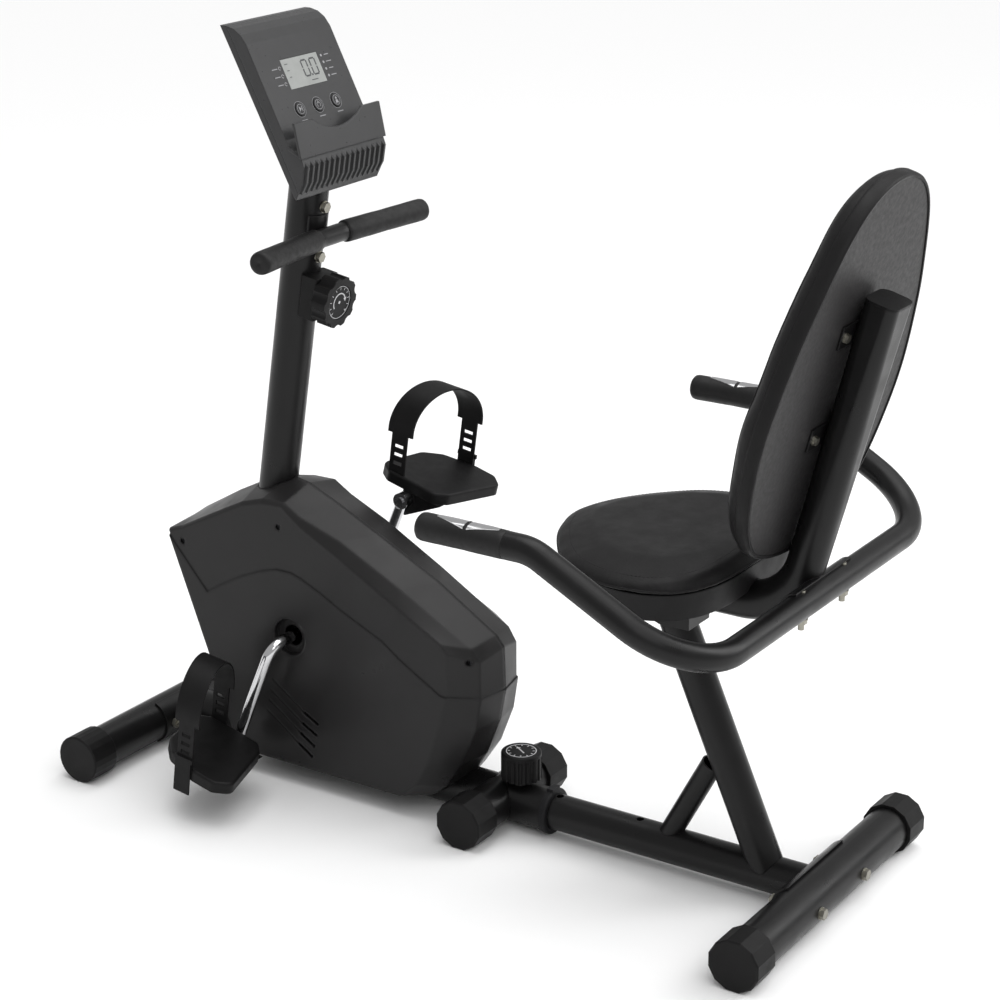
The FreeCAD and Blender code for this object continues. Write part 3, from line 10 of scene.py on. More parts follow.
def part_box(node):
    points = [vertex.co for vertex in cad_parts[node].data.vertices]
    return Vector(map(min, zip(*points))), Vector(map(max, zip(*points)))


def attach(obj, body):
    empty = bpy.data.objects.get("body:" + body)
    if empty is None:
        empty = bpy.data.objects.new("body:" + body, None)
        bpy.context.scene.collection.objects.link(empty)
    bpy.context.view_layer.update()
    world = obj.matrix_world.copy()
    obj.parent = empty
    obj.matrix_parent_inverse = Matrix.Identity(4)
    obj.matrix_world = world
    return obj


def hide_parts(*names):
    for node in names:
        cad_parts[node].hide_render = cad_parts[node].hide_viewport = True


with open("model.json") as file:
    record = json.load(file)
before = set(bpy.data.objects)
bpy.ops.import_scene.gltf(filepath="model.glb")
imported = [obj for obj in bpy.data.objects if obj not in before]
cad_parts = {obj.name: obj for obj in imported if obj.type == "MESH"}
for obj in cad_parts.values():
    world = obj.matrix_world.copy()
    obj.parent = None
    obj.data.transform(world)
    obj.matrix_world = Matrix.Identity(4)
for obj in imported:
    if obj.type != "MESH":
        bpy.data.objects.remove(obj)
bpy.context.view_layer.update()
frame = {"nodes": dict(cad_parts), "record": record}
NODES = frame["nodes"]

# Lengths in the shapes below are millimetres, with y = 0 at the rear stabilizer's axis.
MM = 0.001
REAR_LOW, REAR_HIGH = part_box("rear_foot_tube")
REAR_Y = (REAR_LOW.y + REAR_HIGH.y) / 2


def at(x, y, z):
    """A point given in millimetres, in the frame's metres."""
    return Vector((x * MM, y * MM + REAR_Y, z * MM))


# ---- camera, floor and light --------------------------------------------------------
CAMERA_PLACE = (-2636.53, -1252.81, 1600.97)
CAMERA_YAW, CAMERA_PITCH, CAMERA_ROLL = 33.51, -19.71, -0.3      # degrees, yaw from +X towards +Y
CAMERA_LENS, CAMERA_SENSOR = 90.97, 36.0

# Places and sizes in metres, powers in watts.
LAMPS = [
    ("key", (-2.6, -2.4, 3.0), (0, 0, 0.4), (1.6, 1.6), 18),
    ("right", (2.2, -2.6, 2.2), (0, 0, 0.5), (1.6, 2.2), 46),
    ("top", (0.3, 0.2, 3.4), (0, 0, 0.4), (2.4, 2.4), 24),
]
SKY_STRENGTH, SKY_SPREAD, SKY_TILT = 1.75, 75, (18, 10, 0)       # spread and tilt in degrees
LIGHT_ON_OBJECT, LIGHT_OF_BACKDROP = 0.52, 0.98
FLOOR_HALF = 14.0


def set_camera():
    yaw, pitch, roll = (math.radians(angle) for angle in (CAMERA_YAW, CAMERA_PITCH, CAMERA_ROLL))
    ahead = Vector((math.cos(pitch) * math.cos(yaw), math.cos(pitch) * math.sin(yaw), math.sin(pitch)))
    level = ahead.cross(Vector((0, 0, 1))).normalized()
    upright = level.cross(ahead)
    right = level * math.cos(roll) + upright * math.sin(roll)
    up = upright * math.cos(roll) - level * math.sin(roll)
    data = bpy.data.cameras.new("camera")
    data.sensor_width = CAMERA_SENSOR
    data.lens = CAMERA_LENS
    data.clip_end = 50.0
    camera = bpy.data.objects.new("camera", data)
    turn = Matrix((right, up, -ahead)).transposed().to_4x4()
    camera.matrix_world = Matrix.Translation(at(*CAMERA_PLACE)) @ turn
    bpy.context.scene.collection.objects.link(camera)
    bpy.context.scene.camera = camera


def area_light(name, place, target, size, power):
    data = bpy.data.lights.new(name, "AREA")
    data.shape = "RECTANGLE"
    data.size, data.size_y = size
    data.energy = power
    lamp = bpy.data.objects.new(name, data)
    lamp.location = place
    lamp.rotation_euler = (Vector(target) - Vector(place)).to_track_quat("-Z", "Y").to_euler()
    bpy.context.scene.collection.objects.link(lamp)


def sky_light():
    """A very broad sun, which gives the floor its soft shadows."""
    data = bpy.data.lights.new("sky", "SUN")
    data.energy = SKY_STRENGTH
    data.angle = math.radians(SKY_SPREAD)
    lamp = bpy.data.objects.new("sky", data)
    lamp.rotation_euler = [math.radians(angle) for angle in SKY_TILT]
    bpy.context.scene.collection.objects.link(lamp)


def studio_world():
    """An even white world, brighter where it is the backdrop itself than as a light."""
    world = bpy.data.worlds.new("studio")
    world.use_nodes = True
    tree = world.node_tree
    background = tree.nodes["Background"]
    background.inputs["Color"].default_value = (1.0, 1.0, 1.0, 1.0)
    light_path = tree.nodes.new("ShaderNodeLightPath")
    strength = tree.nodes.new("ShaderNodeMapRange")
    strength.inputs["To Min"].default_value = LIGHT_ON_OBJECT
    strength.inputs["To Max"].default_value = LIGHT_OF_BACKDROP
    tree.links.new(light_path.outputs["Is Camera Ray"], strength.inputs["Value"])
    tree.links.new(strength.outputs["Result"], background.inputs["Strength"])
    return world


def set_stage():
    scene = bpy.context.scene
    scene.view_settings.view_transform = "Standard"
    scene.world = studio_world()
    for lamp in LAMPS:
        area_light(*lamp)
    sky_light()

    half = FLOOR_HALF
    corners = [(-half, -half, 0), (half, -half, 0), (half, half, 0), (-half, half, 0)]
    pale = Shader("floor_pale", Roughness=0.8, Specular_IOR_Level=0.2)
    pale.base.inputs["Base Color"].default_value = (0.93, 0.93, 0.93, 1.0)
    floor = mesh_object("floor", corners, [(0, 1, 2, 3)], pale.material, smooth=False)


# ---- materials ----------------------------------------------------------------------
def rgba(sockets):
    """The colour sockets of a node that has a set of sockets for each data type."""
    return [socket for socket in sockets if socket.type == "RGBA"]


def toned(colour, factor):
    return [min(channel * factor, 1.0) for channel in colour]


class Shader:
    """A node material under construction."""

    def __init__(self, name, **inputs):
        self.material = bpy.data.materials.new(name)
        self.material.use_nodes = True
        self.tree = self.material.node_tree
        self.base = self.tree.nodes["Principled BSDF"]
        for key, value in inputs.items():
            self.base.inputs[key.replace("_", " ")].default_value = value
        self.coords = self.node("ShaderNodeTexCoord")

    def node(self, kind, **values):
        """A new node; a value is for the input of that name, or else a setting of the node."""
        made = self.tree.nodes.new(kind)
        for key, value in values.items():
            if key in made.inputs:
                made.inputs[key].default_value = value
            else:
                setattr(made, key, value)
        return made

    def link(self, out_node, out_name, in_node, in_name):
        self.tree.links.new(out_node.outputs[out_name], in_node.inputs[in_name])

    def noise(self, scale, detail):
        made = self.node("ShaderNodeTexNoise", Scale=scale, Detail=detail, Roughness=0.55)
        self.link(self.coords, "Object", made, "Vector")
        return made

    def spread(self, source, out_name, low, high, from_low=0.3, from_high=0.7):
        """A value's range stretched to low..high."""
        made = self.node("ShaderNodeMapRange")
        ends = {"From Min": from_low, "From Max": from_high, "To Min": low, "To Max": high}
        for key, value in ends.items():
            made.inputs[key].default_value = value
        self.link(source, out_name, made, "Value")
        return made

    def tint(self, patch, dark, light):
        """A colour that wanders between two tones in patches."""
        made = self.node("ShaderNodeMix", data_type="RGBA")
        low, high = rgba(made.inputs)
        low.default_value = (*dark, 1)
        high.default_value = (*light, 1)
        self.link(self.spread(self.noise(patch, 3.0), "Fac", 0.0, 1.0), "Result", made, 0)
        return made

    def colour(self, tint):
        self.tree.links.new(rgba(tint.outputs)[0], self.base.inputs["Base Color"])

    def gloss(self, source, low, high):
        self.link(self.spread(source, "Fac", low, high), "Result", self.base, "Roughness")

    def bump(self, source, out_name, strength, distance, under=None):
        """Relief on the shader's normal, on top of that of the node `under`."""
        made = self.node("ShaderNodeBump", Strength=strength, Distance=distance)
        self.link(source, out_name, made, "Height")
        if under is not None:
            self.link(under, "Normal", made, "Normal")
        self.link(made, "Normal", self.base, "Normal")


def worn_edges(shade, tint, edge, bare):
    """Mix the colour `bare` over a tint along edges, in broken patches."""
    turned = shade.node("ShaderNodeVectorMath", operation="DOT_PRODUCT")
    shade.link(edge, "Normal", turned, 0)
    shade.link(shade.node("ShaderNodeNewGeometry"), "Normal", turned, 1)
    patchy = shade.node("ShaderNodeMath", operation="MULTIPLY")
    shade.link(shade.spread(turned, "Value", 1.0, 0.0, 0.86, 0.995), "Result", patchy, 0)
    shade.link(shade.spread(shade.noise(60, 5.0), "Fac", 0.2, 1.0), "Result", patchy, 1)
    mixed = shade.node("ShaderNodeMix", data_type="RGBA")
    low, high = rgba(mixed.inputs)
    high.default_value = (*bare, 1)
    shade.tree.links.new(rgba(tint.outputs)[0], low)
    shade.link(patchy, "Value", mixed, 0)
    return mixed


def surface(name, colour, rough, vary, patch, grain, bevel=0.0, wear=0.0, **inputs):
    """A plain finish: mottled colour, uneven gloss, a fine grain, and soft worn edges.
    vary and patch are the mottling's depth and scale; grain is (scale, strength, depth)."""
    shade = Shader(name, **inputs)
    tint = shade.tint(patch, toned(colour, 1 - vary), toned(colour, 1 + vary))
    shade.gloss(shade.noise(patch * 4, 4.0), max(rough - 0.07, 0.02), min(rough + 0.07, 1.0))
    edge = shade.node("ShaderNodeBevel", samples=4, Radius=bevel) if bevel else None
    if bevel and wear:
        tint = worn_edges(shade, tint, edge, [min(channel * 2.2 + wear, 1.0) for channel in colour])
    shade.colour(tint)
    scale, strength, depth = grain
    shade.bump(shade.noise(scale, 2.0), "Fac", strength, depth, edge)
    return shade.material


def leather(name, colour, rough):
    """Synthetic leather: small rounded pebbles with creases between them, and slow folds."""
    shade = Shader(name, Specular_IOR_Level=0.16)
    shift = shade.node("ShaderNodeVectorMath", operation="SCALE", Scale=0.0022)
    shade.link(shade.noise(90, 2.0), "Color", shift, 0)
    moved = shade.node("ShaderNodeVectorMath", operation="ADD")
    shade.link(shade.coords, "Object", moved, 0)
    shade.link(shift, "Vector", moved, 1)
    cells = shade.node("ShaderNodeTexVoronoi", feature="DISTANCE_TO_EDGE", Scale=420.0)
    shade.link(moved, "Vector", cells, "Vector")
    pebble = shade.spread(cells, "Distance", 0.0, 1.0, 0.0, 0.28)
    pebble.interpolation_type = "SMOOTHSTEP"
    shade.colour(shade.tint(11, toned(colour, 0.86), toned(colour, 1.16)))
    shade.gloss(shade.noise(34, 4.0), rough - 0.06, rough + 0.09)
    folds = shade.node("ShaderNodeBump", Strength=0.25, Distance=0.002)
    shade.link(shade.noise(16, 2.0), "Fac", folds, "Height")
    shade.bump(pebble, "Result", 0.22, 0.0003, folds)
    return shade.material


def foam(name, colour):
    """Closed-cell foam sleeve: soft gloss, with pores."""
    shade = Shader(name, Specular_IOR_Level=0.3)
    shade.colour(shade.tint(40, toned(colour, 0.8), toned(colour, 1.2)))
    shade.gloss(shade.noise(120, 3.0), 0.46, 0.64)
    pores = shade.node("ShaderNodeTexVoronoi", feature="F1", Scale=1100.0)
    shade.link(shade.coords, "Object", pores, "Vector")
    shade.bump(pores, "Distance", 0.35, 0.0003)
    return shade.material


def brushed(name, colour, rough, scale=(40, 40, 2500), strength=0.05):
    """Bare or plated metal with fine drawn lines."""
    shade = Shader(name, Metallic=1.0)
    mapping = shade.node("ShaderNodeMapping", Scale=scale)
    shade.link(shade.coords, "Object", mapping, "Vector")
    lines = shade.node("ShaderNodeTexNoise", Scale=1.0, Detail=4.0)
    shade.link(mapping, "Vector", lines, "Vector")
    shade.colour(shade.tint(30, toned(colour, 0.9), toned(colour, 1.08)))
    shade.gloss(lines, max(rough - 0.05, 0.02), rough + 0.08)
    shade.bump(lines, "Fac", strength, 0.0001)
    return shade.material


MATT = {"Specular_IOR_Level": 0.15}
SATIN = {"Specular_IOR_Level": 0.24}
GLOSSY = {"Specular_IOR_Level": 0.32}
SOFT_EDGE = 0.0016                                # metres


def painted_and_moulded():
    return {
        "frame_paint": surface("satin_powder_coat", (0.0062, 0.0060, 0.0062), 0.33, 0.10, 6.0,
                               (1400, 0.16, 0.0002), SOFT_EDGE, 0.004, **SATIN),
        "cap_plastic": surface("cap_plastic", (0.0066, 0.0064, 0.0066), 0.47, 0.12, 12.0,
                               (1100, 0.18, 0.0002), SOFT_EDGE, 0.005, **MATT),
        "casing_plastic": surface("casing_plastic", (0.0135, 0.0129, 0.0132), 0.34, 0.06, 4.0,
                                  (1500, 0.14, 0.0002), 0.006, **SATIN),
        "console_plastic": surface("console_plastic", (0.035, 0.035, 0.036), 0.34, 0.05, 45.0,
                                   (1600, 0.14, 0.0002), 0.0025, **GLOSSY),
        "display": surface("display_glass", (0.30, 0.31, 0.30), 0.16, 0.05, 30.0,
                           (300, 0.01, 0.0001), Coat_Weight=0.4),
        "button_plastic": surface("key_plastic", (0.034, 0.034, 0.035), 0.34, 0.08, 60.0,
                                  (2500, 0.08, 0.0001), 0.0008, **MATT),
        "board": surface("backing_board", (0.0170, 0.0162, 0.0166), 0.46, 0.04, 45.0,
                         (700, 0.22, 0.0003), SOFT_EDGE, Specular_IOR_Level=0.18),
        "seat_pan": surface("seat_pan_plastic", (0.0095, 0.0092, 0.0095), 0.5, 0.08, 9.0,
                            (900, 0.2, 0.0003), 0.003, **MATT),
        "pedal_plastic": surface("pedal_plastic", (0.0066, 0.0064, 0.0066), 0.45, 0.12, 16.0,
                                 (1000, 0.25, 0.0003), SOFT_EDGE, 0.006, **MATT),
        "bushing": surface("nylon_bushing", (0.012, 0.012, 0.013), 0.5, 0.1, 20.0,
                           (900, 0.2, 0.0002), SOFT_EDGE, 0.003, **MATT),
        "circuit": surface("circuit_board", (0.02, 0.16, 0.06), 0.45, 0.1, 60.0,
                           (800, 0.2, 0.0001)),
    }


def metals():
    return {
        "chrome": surface("chrome_plate", (0.62, 0.62, 0.63), 0.12, 0.03, 25.0,
                          (160, 0.05, 0.0004), Metallic=1.0),
        "steel": brushed("machined_steel", (0.34, 0.34, 0.35), 0.32),
        "zinc": brushed("zinc_plate", (0.30, 0.29, 0.25), 0.36, (400, 400, 400), 0.12),
        "black_screw": brushed("black_oxide", (0.03, 0.03, 0.032), 0.42, (300, 300, 300), 0.1),
        "iron": brushed("machined_iron", (0.20, 0.20, 0.21), 0.42, (600, 30, 30), 0.2),
        "magnet": brushed("nickel_plate", (0.5, 0.49, 0.46), 0.25, (200, 200, 200)),
    }


def soft_finishes():
    return {
        "foam": foam("foam_sleeve", (0.0072, 0.0070, 0.0072)),
        "vinyl": leather("synthetic_leather", (0.0085, 0.0081, 0.0084), 0.46),
        "belt_rubber": surface("belt_rubber", (0.012, 0.012, 0.012), 0.7, 0.15, 40.0,
                               (900, 0.3, 0.0002), **MATT),
        "strap_rubber": surface("strap_rubber", (0.0066, 0.0064, 0.0066), 0.5, 0.12, 22.0,
                                (1300, 0.25, 0.0002), 0.0008, 0.003, **MATT),
        "thread": surface("stitch_thread", (0.022, 0.021, 0.022), 0.6, 0.2, 200.0,
                          (3000, 0.4, 0.0002), **MATT),
    }


def printed_finishes():
    return {
        "print": surface("printed_mark", (0.26, 0.26, 0.27), 0.5, 0.05, 80.0,
                         (600, 0.05, 0.0001)),
        "white_print": surface("white_print", (0.50, 0.50, 0.51), 0.5, 0.05, 80.0,
                               (600, 0.05, 0.0001)),
        "digit": surface("liquid_crystal", (0.03, 0.032, 0.035), 0.35, 0.1, 90.0,
                         (600, 0.03, 0.0001)),
    }


def make_materials():
    """The finishes, by the record's material slots and a few names of this script's own."""
    return {**painted_and_moulded(), **metals(), **soft_finishes(), **printed_finishes()}


def dress_nodes(materials):
    wanted = {part["node"]: part["material_slot"] for part in frame["record"]["subparts"]}
    wanted["seat_board"] = "seat_pan"
    for name, node in NODES.items():
        material = materials[wanted[name]]
        if not node.material_slots:
            node.data.materials.append(material)
        for place in node.material_slots:
            place.material = material


# ---- mesh helpers -------------------------------------------------------------------
def mesh_object(name, points, faces, material, smooth=True):
    mesh = bpy.data.meshes.new(name)
    mesh.from_pydata([tuple(p) for p in points], [], faces)
    mesh.validate()
    mesh.update()
    made = bpy.data.objects.new(name, mesh)
    bpy.context.scene.collection.objects.link(made)
    mesh.materials.append(material)
    if smooth:
        mesh.polygons.foreach_set("use_smooth", [True] * len(mesh.polygons))
    return made


def evenly(line, count):
    """`count` even places along a closed line of points, each with the number of the point
    that it follows."""
    lengths = [0.0]
    for i, p in enumerate(line):
        lengths.append(lengths[-1] + (line[(i + 1) % len(line)] - p).length)
    places, j = [], 0
    for k in range(count):
        goal = lengths[-1] * k / count
        while lengths[j + 1] < goal:
            j += 1
        part = (goal - lengths[j]) / max(lengths[j + 1] - lengths[j], 1e-9)
        places.append((line[j].lerp(line[(j + 1) % len(line)], part), j))
    return places


def smooth_ring(points, count):
    """`count` points evenly along the smooth closed curve through (x, y) points given for
    x >= 0, from bottom to top, mirrored to the left."""
    corners = [Vector(p) for p in points] + [Vector((-x, y)) for x, y in points[::-1] if x > 0]
    dense = []
    steps = 24
    for i in range(len(corners)):
        p0, p1, p2, p3 = (corners[(i + k) % len(corners)] for k in (-1, 0, 1, 2))
        for k in range(steps):
            t = k / steps
            dense.append(0.5 * (2 * p1 + (p2 - p0) * t + (2 * p0 - 5 * p1 + 4 * p2 - p3) * t ** 2
                                + (3 * p1 - p0 - 3 * p2 + p3) * t ** 3))
    return [place for place, _ in evenly(dense, count)]


def inset_ring(ring, distance):
    """The ring moved inwards by `distance` along its own normals."""
    moved = []
    for i, p in enumerate(ring):
        along = (ring[(i + 1) % len(ring)] - ring[i - 1]).normalized()
        moved.append(p + Vector((-along.y, along.x)) * distance)
    return moved


def loft(name, rings, material, closed_ends=True):
    """Rings of equal length joined by quads, with a face at each end."""
    count = len(rings[0])
    points = [p for ring in rings for p in ring]
    faces = []
    for r in range(len(rings) - 1):
        for i in range(count):
            j = (i + 1) % count
            faces.append((r * count + i, r * count + j, (r + 1) * count + j, (r + 1) * count + i))
    if closed_ends:
        faces.append(tuple(range(count))[::-1])
        faces.append(tuple(range((len(rings) - 1) * count, len(rings) * count)))
    return mesh_object(name, points, faces, material)


def apply_modifiers(obj):
    """Give the object the mesh that its modifiers make of it."""
    graph = bpy.context.evaluated_depsgraph_get()
    mesh = bpy.data.meshes.new_from_object(obj.evaluated_get(graph))
    old = obj.data
    obj.modifiers.clear()
    obj.data = mesh
    bpy.data.meshes.remove(old)
    mesh.polygons.foreach_set("use_smooth", [True] * len(mesh.polygons))


def even_out(mesh, start, pinned, cap, rounds=60):
    """Share each point's move since `start` with its neighbours, so that the swelling keeps
    its crown and loses its wrinkles.  Pinned points stay, and no move is over `cap`."""
    count = len(start)
    rest = np.array([tuple(p) for p in start])
    moves = np.array([tuple(v.co) for v in mesh.vertices]) - rest
    ends = np.empty(len(mesh.edges) * 2, dtype=np.int64)
    mesh.edges.foreach_get("vertices", ends)
    one, two = ends[0::2], ends[1::2]
    beside = np.bincount(ends, minlength=count)[:, None]
    free = np.array([[0.0 if pinned(p) else 1.0] for p in start])
    for _ in range(rounds):
        total = np.stack([np.bincount(one, moves[two, axis], count)
                          + np.bincount(two, moves[one, axis], count) for axis in range(3)], axis=1)
        moves = free * (moves + total / np.maximum(beside, 1)) / 2
    size = np.linalg.norm(moves, axis=1, keepdims=True)
    moves *= np.minimum(1.0, cap / np.maximum(size, 1e-9))
    mesh.vertices.foreach_set("co", (rest + moves).ravel())
    mesh.update()


PUFF_VOXEL = 0.005
PUFF_PRESSURE = 4.0
PUFF_FRAMES = 20


def smoothed(obj, rounds):
    smooth = obj.modifiers.new("smooth", "SMOOTH")
    smooth.iterations = rounds
    smooth.factor = 0.5


def blow_up(obj, start, pinned, cap):
    """Swell the object as cloth under pressure."""
    group = obj.vertex_groups.new(name="pin")
    group.add([i for i, p in enumerate(start) if pinned(p)], 1.0, "REPLACE")
    cloth = obj.modifiers.new("cloth", "CLOTH")
    cloth.settings.quality = 5
    cloth.settings.mass = 0.3
    cloth.settings.tension_stiffness = 18
    cloth.settings.compression_stiffness = 18
    cloth.settings.bending_stiffness = 0.6
    cloth.settings.use_pressure = True
    cloth.settings.uniform_pressure_force = PUFF_PRESSURE
    cloth.settings.effector_weights.gravity = 0.0
    cloth.settings.vertex_group_mass = "pin"
    cloth.collision_settings.use_collision = False
    scene = bpy.context.scene
    for number in range(1, PUFF_FRAMES + 1):
        scene.frame_set(number)
    apply_modifiers(obj)
    scene.frame_set(1)
    even_out(obj.data, start, pinned, cap)
    obj.vertex_groups.clear()


def puff(obj, pinned, cap):
    """Remesh a closed pad, blow it up and apply the result.  pinned(point) says which points
    stay; no point moves further than `cap` metres."""
    remesh = obj.modifiers.new("remesh", "REMESH")
    remesh.mode = "VOXEL"
    remesh.voxel_size = PUFF_VOXEL
    apply_modifiers(obj)
    smoothed(obj, 3)
    apply_modifiers(obj)
    blow_up(obj, [v.co.copy() for v in obj.data.vertices], pinned, cap)
    smoothed(obj, 4)
    finer = obj.modifiers.new("finer", "SUBSURF")
    finer.levels = finer.render_levels = 1
    apply_modifiers(obj)


def on_surface(tree, points, lift):
    """Each point moved to the nearest place on a mesh, and `lift` metres out of it."""
    placed = []
    for p in points:
        place, normal, _, _ = tree.find_nearest(p)
        placed.append(place + normal * lift)
    return placed


def relaxed(points, rounds=6):
    """A closed line of points with its small kinks taken out."""
    count = len(points)
    for _ in range(rounds):
        points = [(points[i - 1] + points[i] * 2 + points[(i + 1) % count]) / 4 for i in range(count)]
    return points


def round_about(centre, normal, side, radius, count):
    """A ring of points round a centre, in the plane of two unit vectors."""
    turns = [2 * math.pi * k / count for k in range(count)]
    return [centre + (normal * math.cos(a) + side * math.sin(a)) * radius for a in turns]


def closed_tube(name, points, radius, material, sides=10):
    """A round tube whose middle follows a closed line of points."""
    normal = None
    rings = []
    for i, point in enumerate(points):
        along = (points[(i + 1) % len(points)] - points[i - 1]).normalized()
        if normal is None:
            normal = along.orthogonal().normalized()
        normal = (normal - along * normal.dot(along)).normalized()
        rings.append(round_about(point, normal, along.cross(normal), radius, sides))
    turn = min(range(sides), key=lambda k: (rings[0][k] - rings[-1][0]).length)
    last = rings[0][turn:] + rings[0][:turn]
    made = loft(name, rings + [last], material, closed_ends=False)
    weld_points(made, 1e-6)
    return made


def weld_points(obj, distance):
    """Join the points that lie within `distance`, and turn every face outwards."""
    work = bmesh.new()
    work.from_mesh(obj.data)
    bmesh.ops.remove_doubles(work, verts=work.verts, dist=distance)
    bmesh.ops.recalc_face_normals(work, faces=work.faces)
    work.to_mesh(obj.data)
    work.free()


STITCH_GAP, STITCH_LENGTH, STITCH_RADIUS = 0.0016, 0.0036, 0.00045
STITCH_SHAPE = ((0.0, 0.35), (0.2, 0.9), (0.5, 1.0), (0.8, 0.9), (1.0, 0.35))      # along, and radius


def stitches(name, line, material):
    """Short thread capsules along a closed line of points, one mesh."""
    total = sum((line[(i + 1) % len(line)] - p).length for i, p in enumerate(line))
    sides = 6
    points, faces = [], []
    for start, j in evenly(line, int(total / (STITCH_GAP + STITCH_LENGTH))):
        along = (line[(j + 2) % len(line)] - line[j - 1]).normalized()
        normal = along.orthogonal().normalized()
        side = along.cross(normal)
        base = len(points)
        for part, thick in STITCH_SHAPE:
            centre = start + along * (STITCH_LENGTH * part)
            points += round_about(centre, normal, side, STITCH_RADIUS * thick, sides)
        for r in range(len(STITCH_SHAPE) - 1):
            low = base + r * sides
            for a in range(sides):
                b = (a + 1) % sides
                faces.append((low + a, low + b, low + sides + b, low + sides + a))
        end = base + (len(STITCH_SHAPE) - 1) * sides
        faces.append(tuple(base + a for a in range(sides))[::-1])
        faces.append(tuple(end + a for a in range(sides)))
    return mesh_object(name, points, faces, material)


def settle(obj, body):
    """Say which body carries a piece."""
    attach(obj, body)


# ---- upholstery ---------------------------------------------------------------------
BACK_LEAN = math.radians(15.0)
BACK_UP = Vector((0, -math.sin(BACK_LEAN), math.cos(BACK_LEAN)))
BACK_AHEAD = Vector((0, math.cos(BACK_LEAN), math.sin(BACK_LEAN)))
BACK_BASE = at(0, 58.6, 500)
BACK_OUTLINE = [(0, -14), (100, 8), (150, 55), (176, 120), (185, 195), (170, 280), (148, 345),
                (106, 430), (60, 474), (0, 489)]
SEAT_OUTLINE = [(0, 100), (108, 104), (168, 138), (187, 205), (174, 266), (143, 309), (97, 345),
                (50, 371), (0, 383)]
OUTLINE_POINTS = 144

# Each row is how far in from the outline, and how far forward (backrest) or up (seat).
BACK_PROFILE = [(2.5, 10.3), (0.6, 12.5), (0.4, 18), (1.0, 25), (4.0, 32), (9.5, 37.0), (18, 39.5),
                (40, 41.0)]
BACK_EDGE_PROFILE = [(4.6, -0.2), (1.4, -0.4), (0.3, 1.2), (-0.2, 6.0), (-0.2, 14.0), (0.9, 17.5)]
SEAT_PROFILE = [(7, 462.5), (2.6, 463.0), (1.0, 465.2), (0.8, 468.5), (2.4, 473.0), (7.5, 478.0),
                (16.0, 481.5), (28, 483.5), (45, 484.6), (75, 485.2)]
BACK_PINNED, SEAT_PINNED = 13.5, 465.5            # below these the cushions don't swell
BACK_SWELL, SEAT_SWELL = 7.0, 6.0                 # the most that a point may move
BACK_SEAM_INSET, BACK_STITCH_INSET = 13.0, 17.5
SEAT_WELT_INSET, SEAT_STITCH_INSET = 1.5, 13.0

# The seat's top rises towards the rear, from this y over this distance.
SEAT_RISE, SEAT_RISE_Y, SEAT_RISE_LENGTH, SEAT_SIDE_TOP = 7.0, 205, 95, 475


def back_place(x, up, ahead):
    """A point of the backrest: across, up its rear face, and forward of that face."""
    return BACK_BASE + Vector((x * MM, 0, 0)) + BACK_UP * (up * MM) + BACK_AHEAD * (ahead * MM)


def back_ring(ring, inset, ahead):
    """A ring of the backrest, forward of its rear face."""
    return [back_place(p.x, p.y, ahead) for p in inset_ring(ring, inset)]


def seat_ring(ring, inset, z):
    """A ring of the seat at a height; the rise counts only above the cushion's side."""
    placed = []
    for p in inset_ring(ring, inset):
        rear = max(0.0, min(1.0, (SEAT_RISE_Y - p.y) / SEAT_RISE_LENGTH))
        rise = SEAT_RISE * rear * rear if z > SEAT_SIDE_TOP else 0.0
        placed.append(at(p.x, p.y, z + rise))
    return placed


def backrest(materials):
    ring = smooth_ring(BACK_OUTLINE, OUTLINE_POINTS)
    rings = [back_ring(ring, inset, ahead) for inset, ahead in BACK_PROFILE]
    pad = loft("backrest_cushion", rings, materials["vinyl"])
    weld_points(pad, 1e-6)
    floor = BACK_AHEAD.dot(BACK_BASE) + BACK_PINNED * MM
    puff(pad, lambda p: BACK_AHEAD.dot(p) < floor, BACK_SWELL * MM)
    settle(pad, "seat_carriage")
    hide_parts("backrest_pad")

    edge = [back_ring(ring, inset, ahead) for inset, ahead in BACK_EDGE_PROFILE]
    rim = loft("backrest_edge", edge, materials["vinyl"], closed_ends=False)
    thick = rim.modifiers.new("thick", "SOLIDIFY")
    thick.thickness = 0.0009
    apply_modifiers(rim)
    weld_points(rim, 1e-7)
    settle(rim, "seat_carriage")

    tree = BVHTree.FromObject(pad, bpy.context.evaluated_depsgraph_get())
    seam = relaxed(on_surface(tree, back_ring(ring, BACK_SEAM_INSET, 50.0), 0.0001))
    settle(closed_tube("backrest_seam", seam, 0.0010, materials["vinyl"]), "seat_carriage")
    row = relaxed(on_surface(tree, back_ring(ring, BACK_STITCH_INSET, 52.0), 0.0001))
    settle(stitches("backrest_stitches", row, materials["thread"]), "seat_carriage")


def seat(materials):
    ring = smooth_ring(SEAT_OUTLINE, OUTLINE_POINTS)
    rings = [seat_ring(ring, inset, z) for inset, z in SEAT_PROFILE]
    pad = loft("seat_cushion", rings, materials["vinyl"])
    weld_points(pad, 1e-6)
    puff(pad, lambda p: p.z < SEAT_PINNED * MM, SEAT_SWELL * MM)
    settle(pad, "seat_carriage")
    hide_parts("seat_pad")

    tree = BVHTree.FromObject(pad, bpy.context.evaluated_depsgraph_get())
    seam = relaxed(on_surface(tree, seat_ring(ring, SEAT_WELT_INSET, 467.0), 0.0002))
    settle(closed_tube("seat_welt", seam, 0.0015, materials["vinyl"]), "seat_carriage")
    row = relaxed(on_surface(tree, seat_ring(ring, SEAT_STITCH_INSET, 494), 0.0001))
    settle(stitches("seat_stitches", row, materials["thread"]), "seat_carriage")


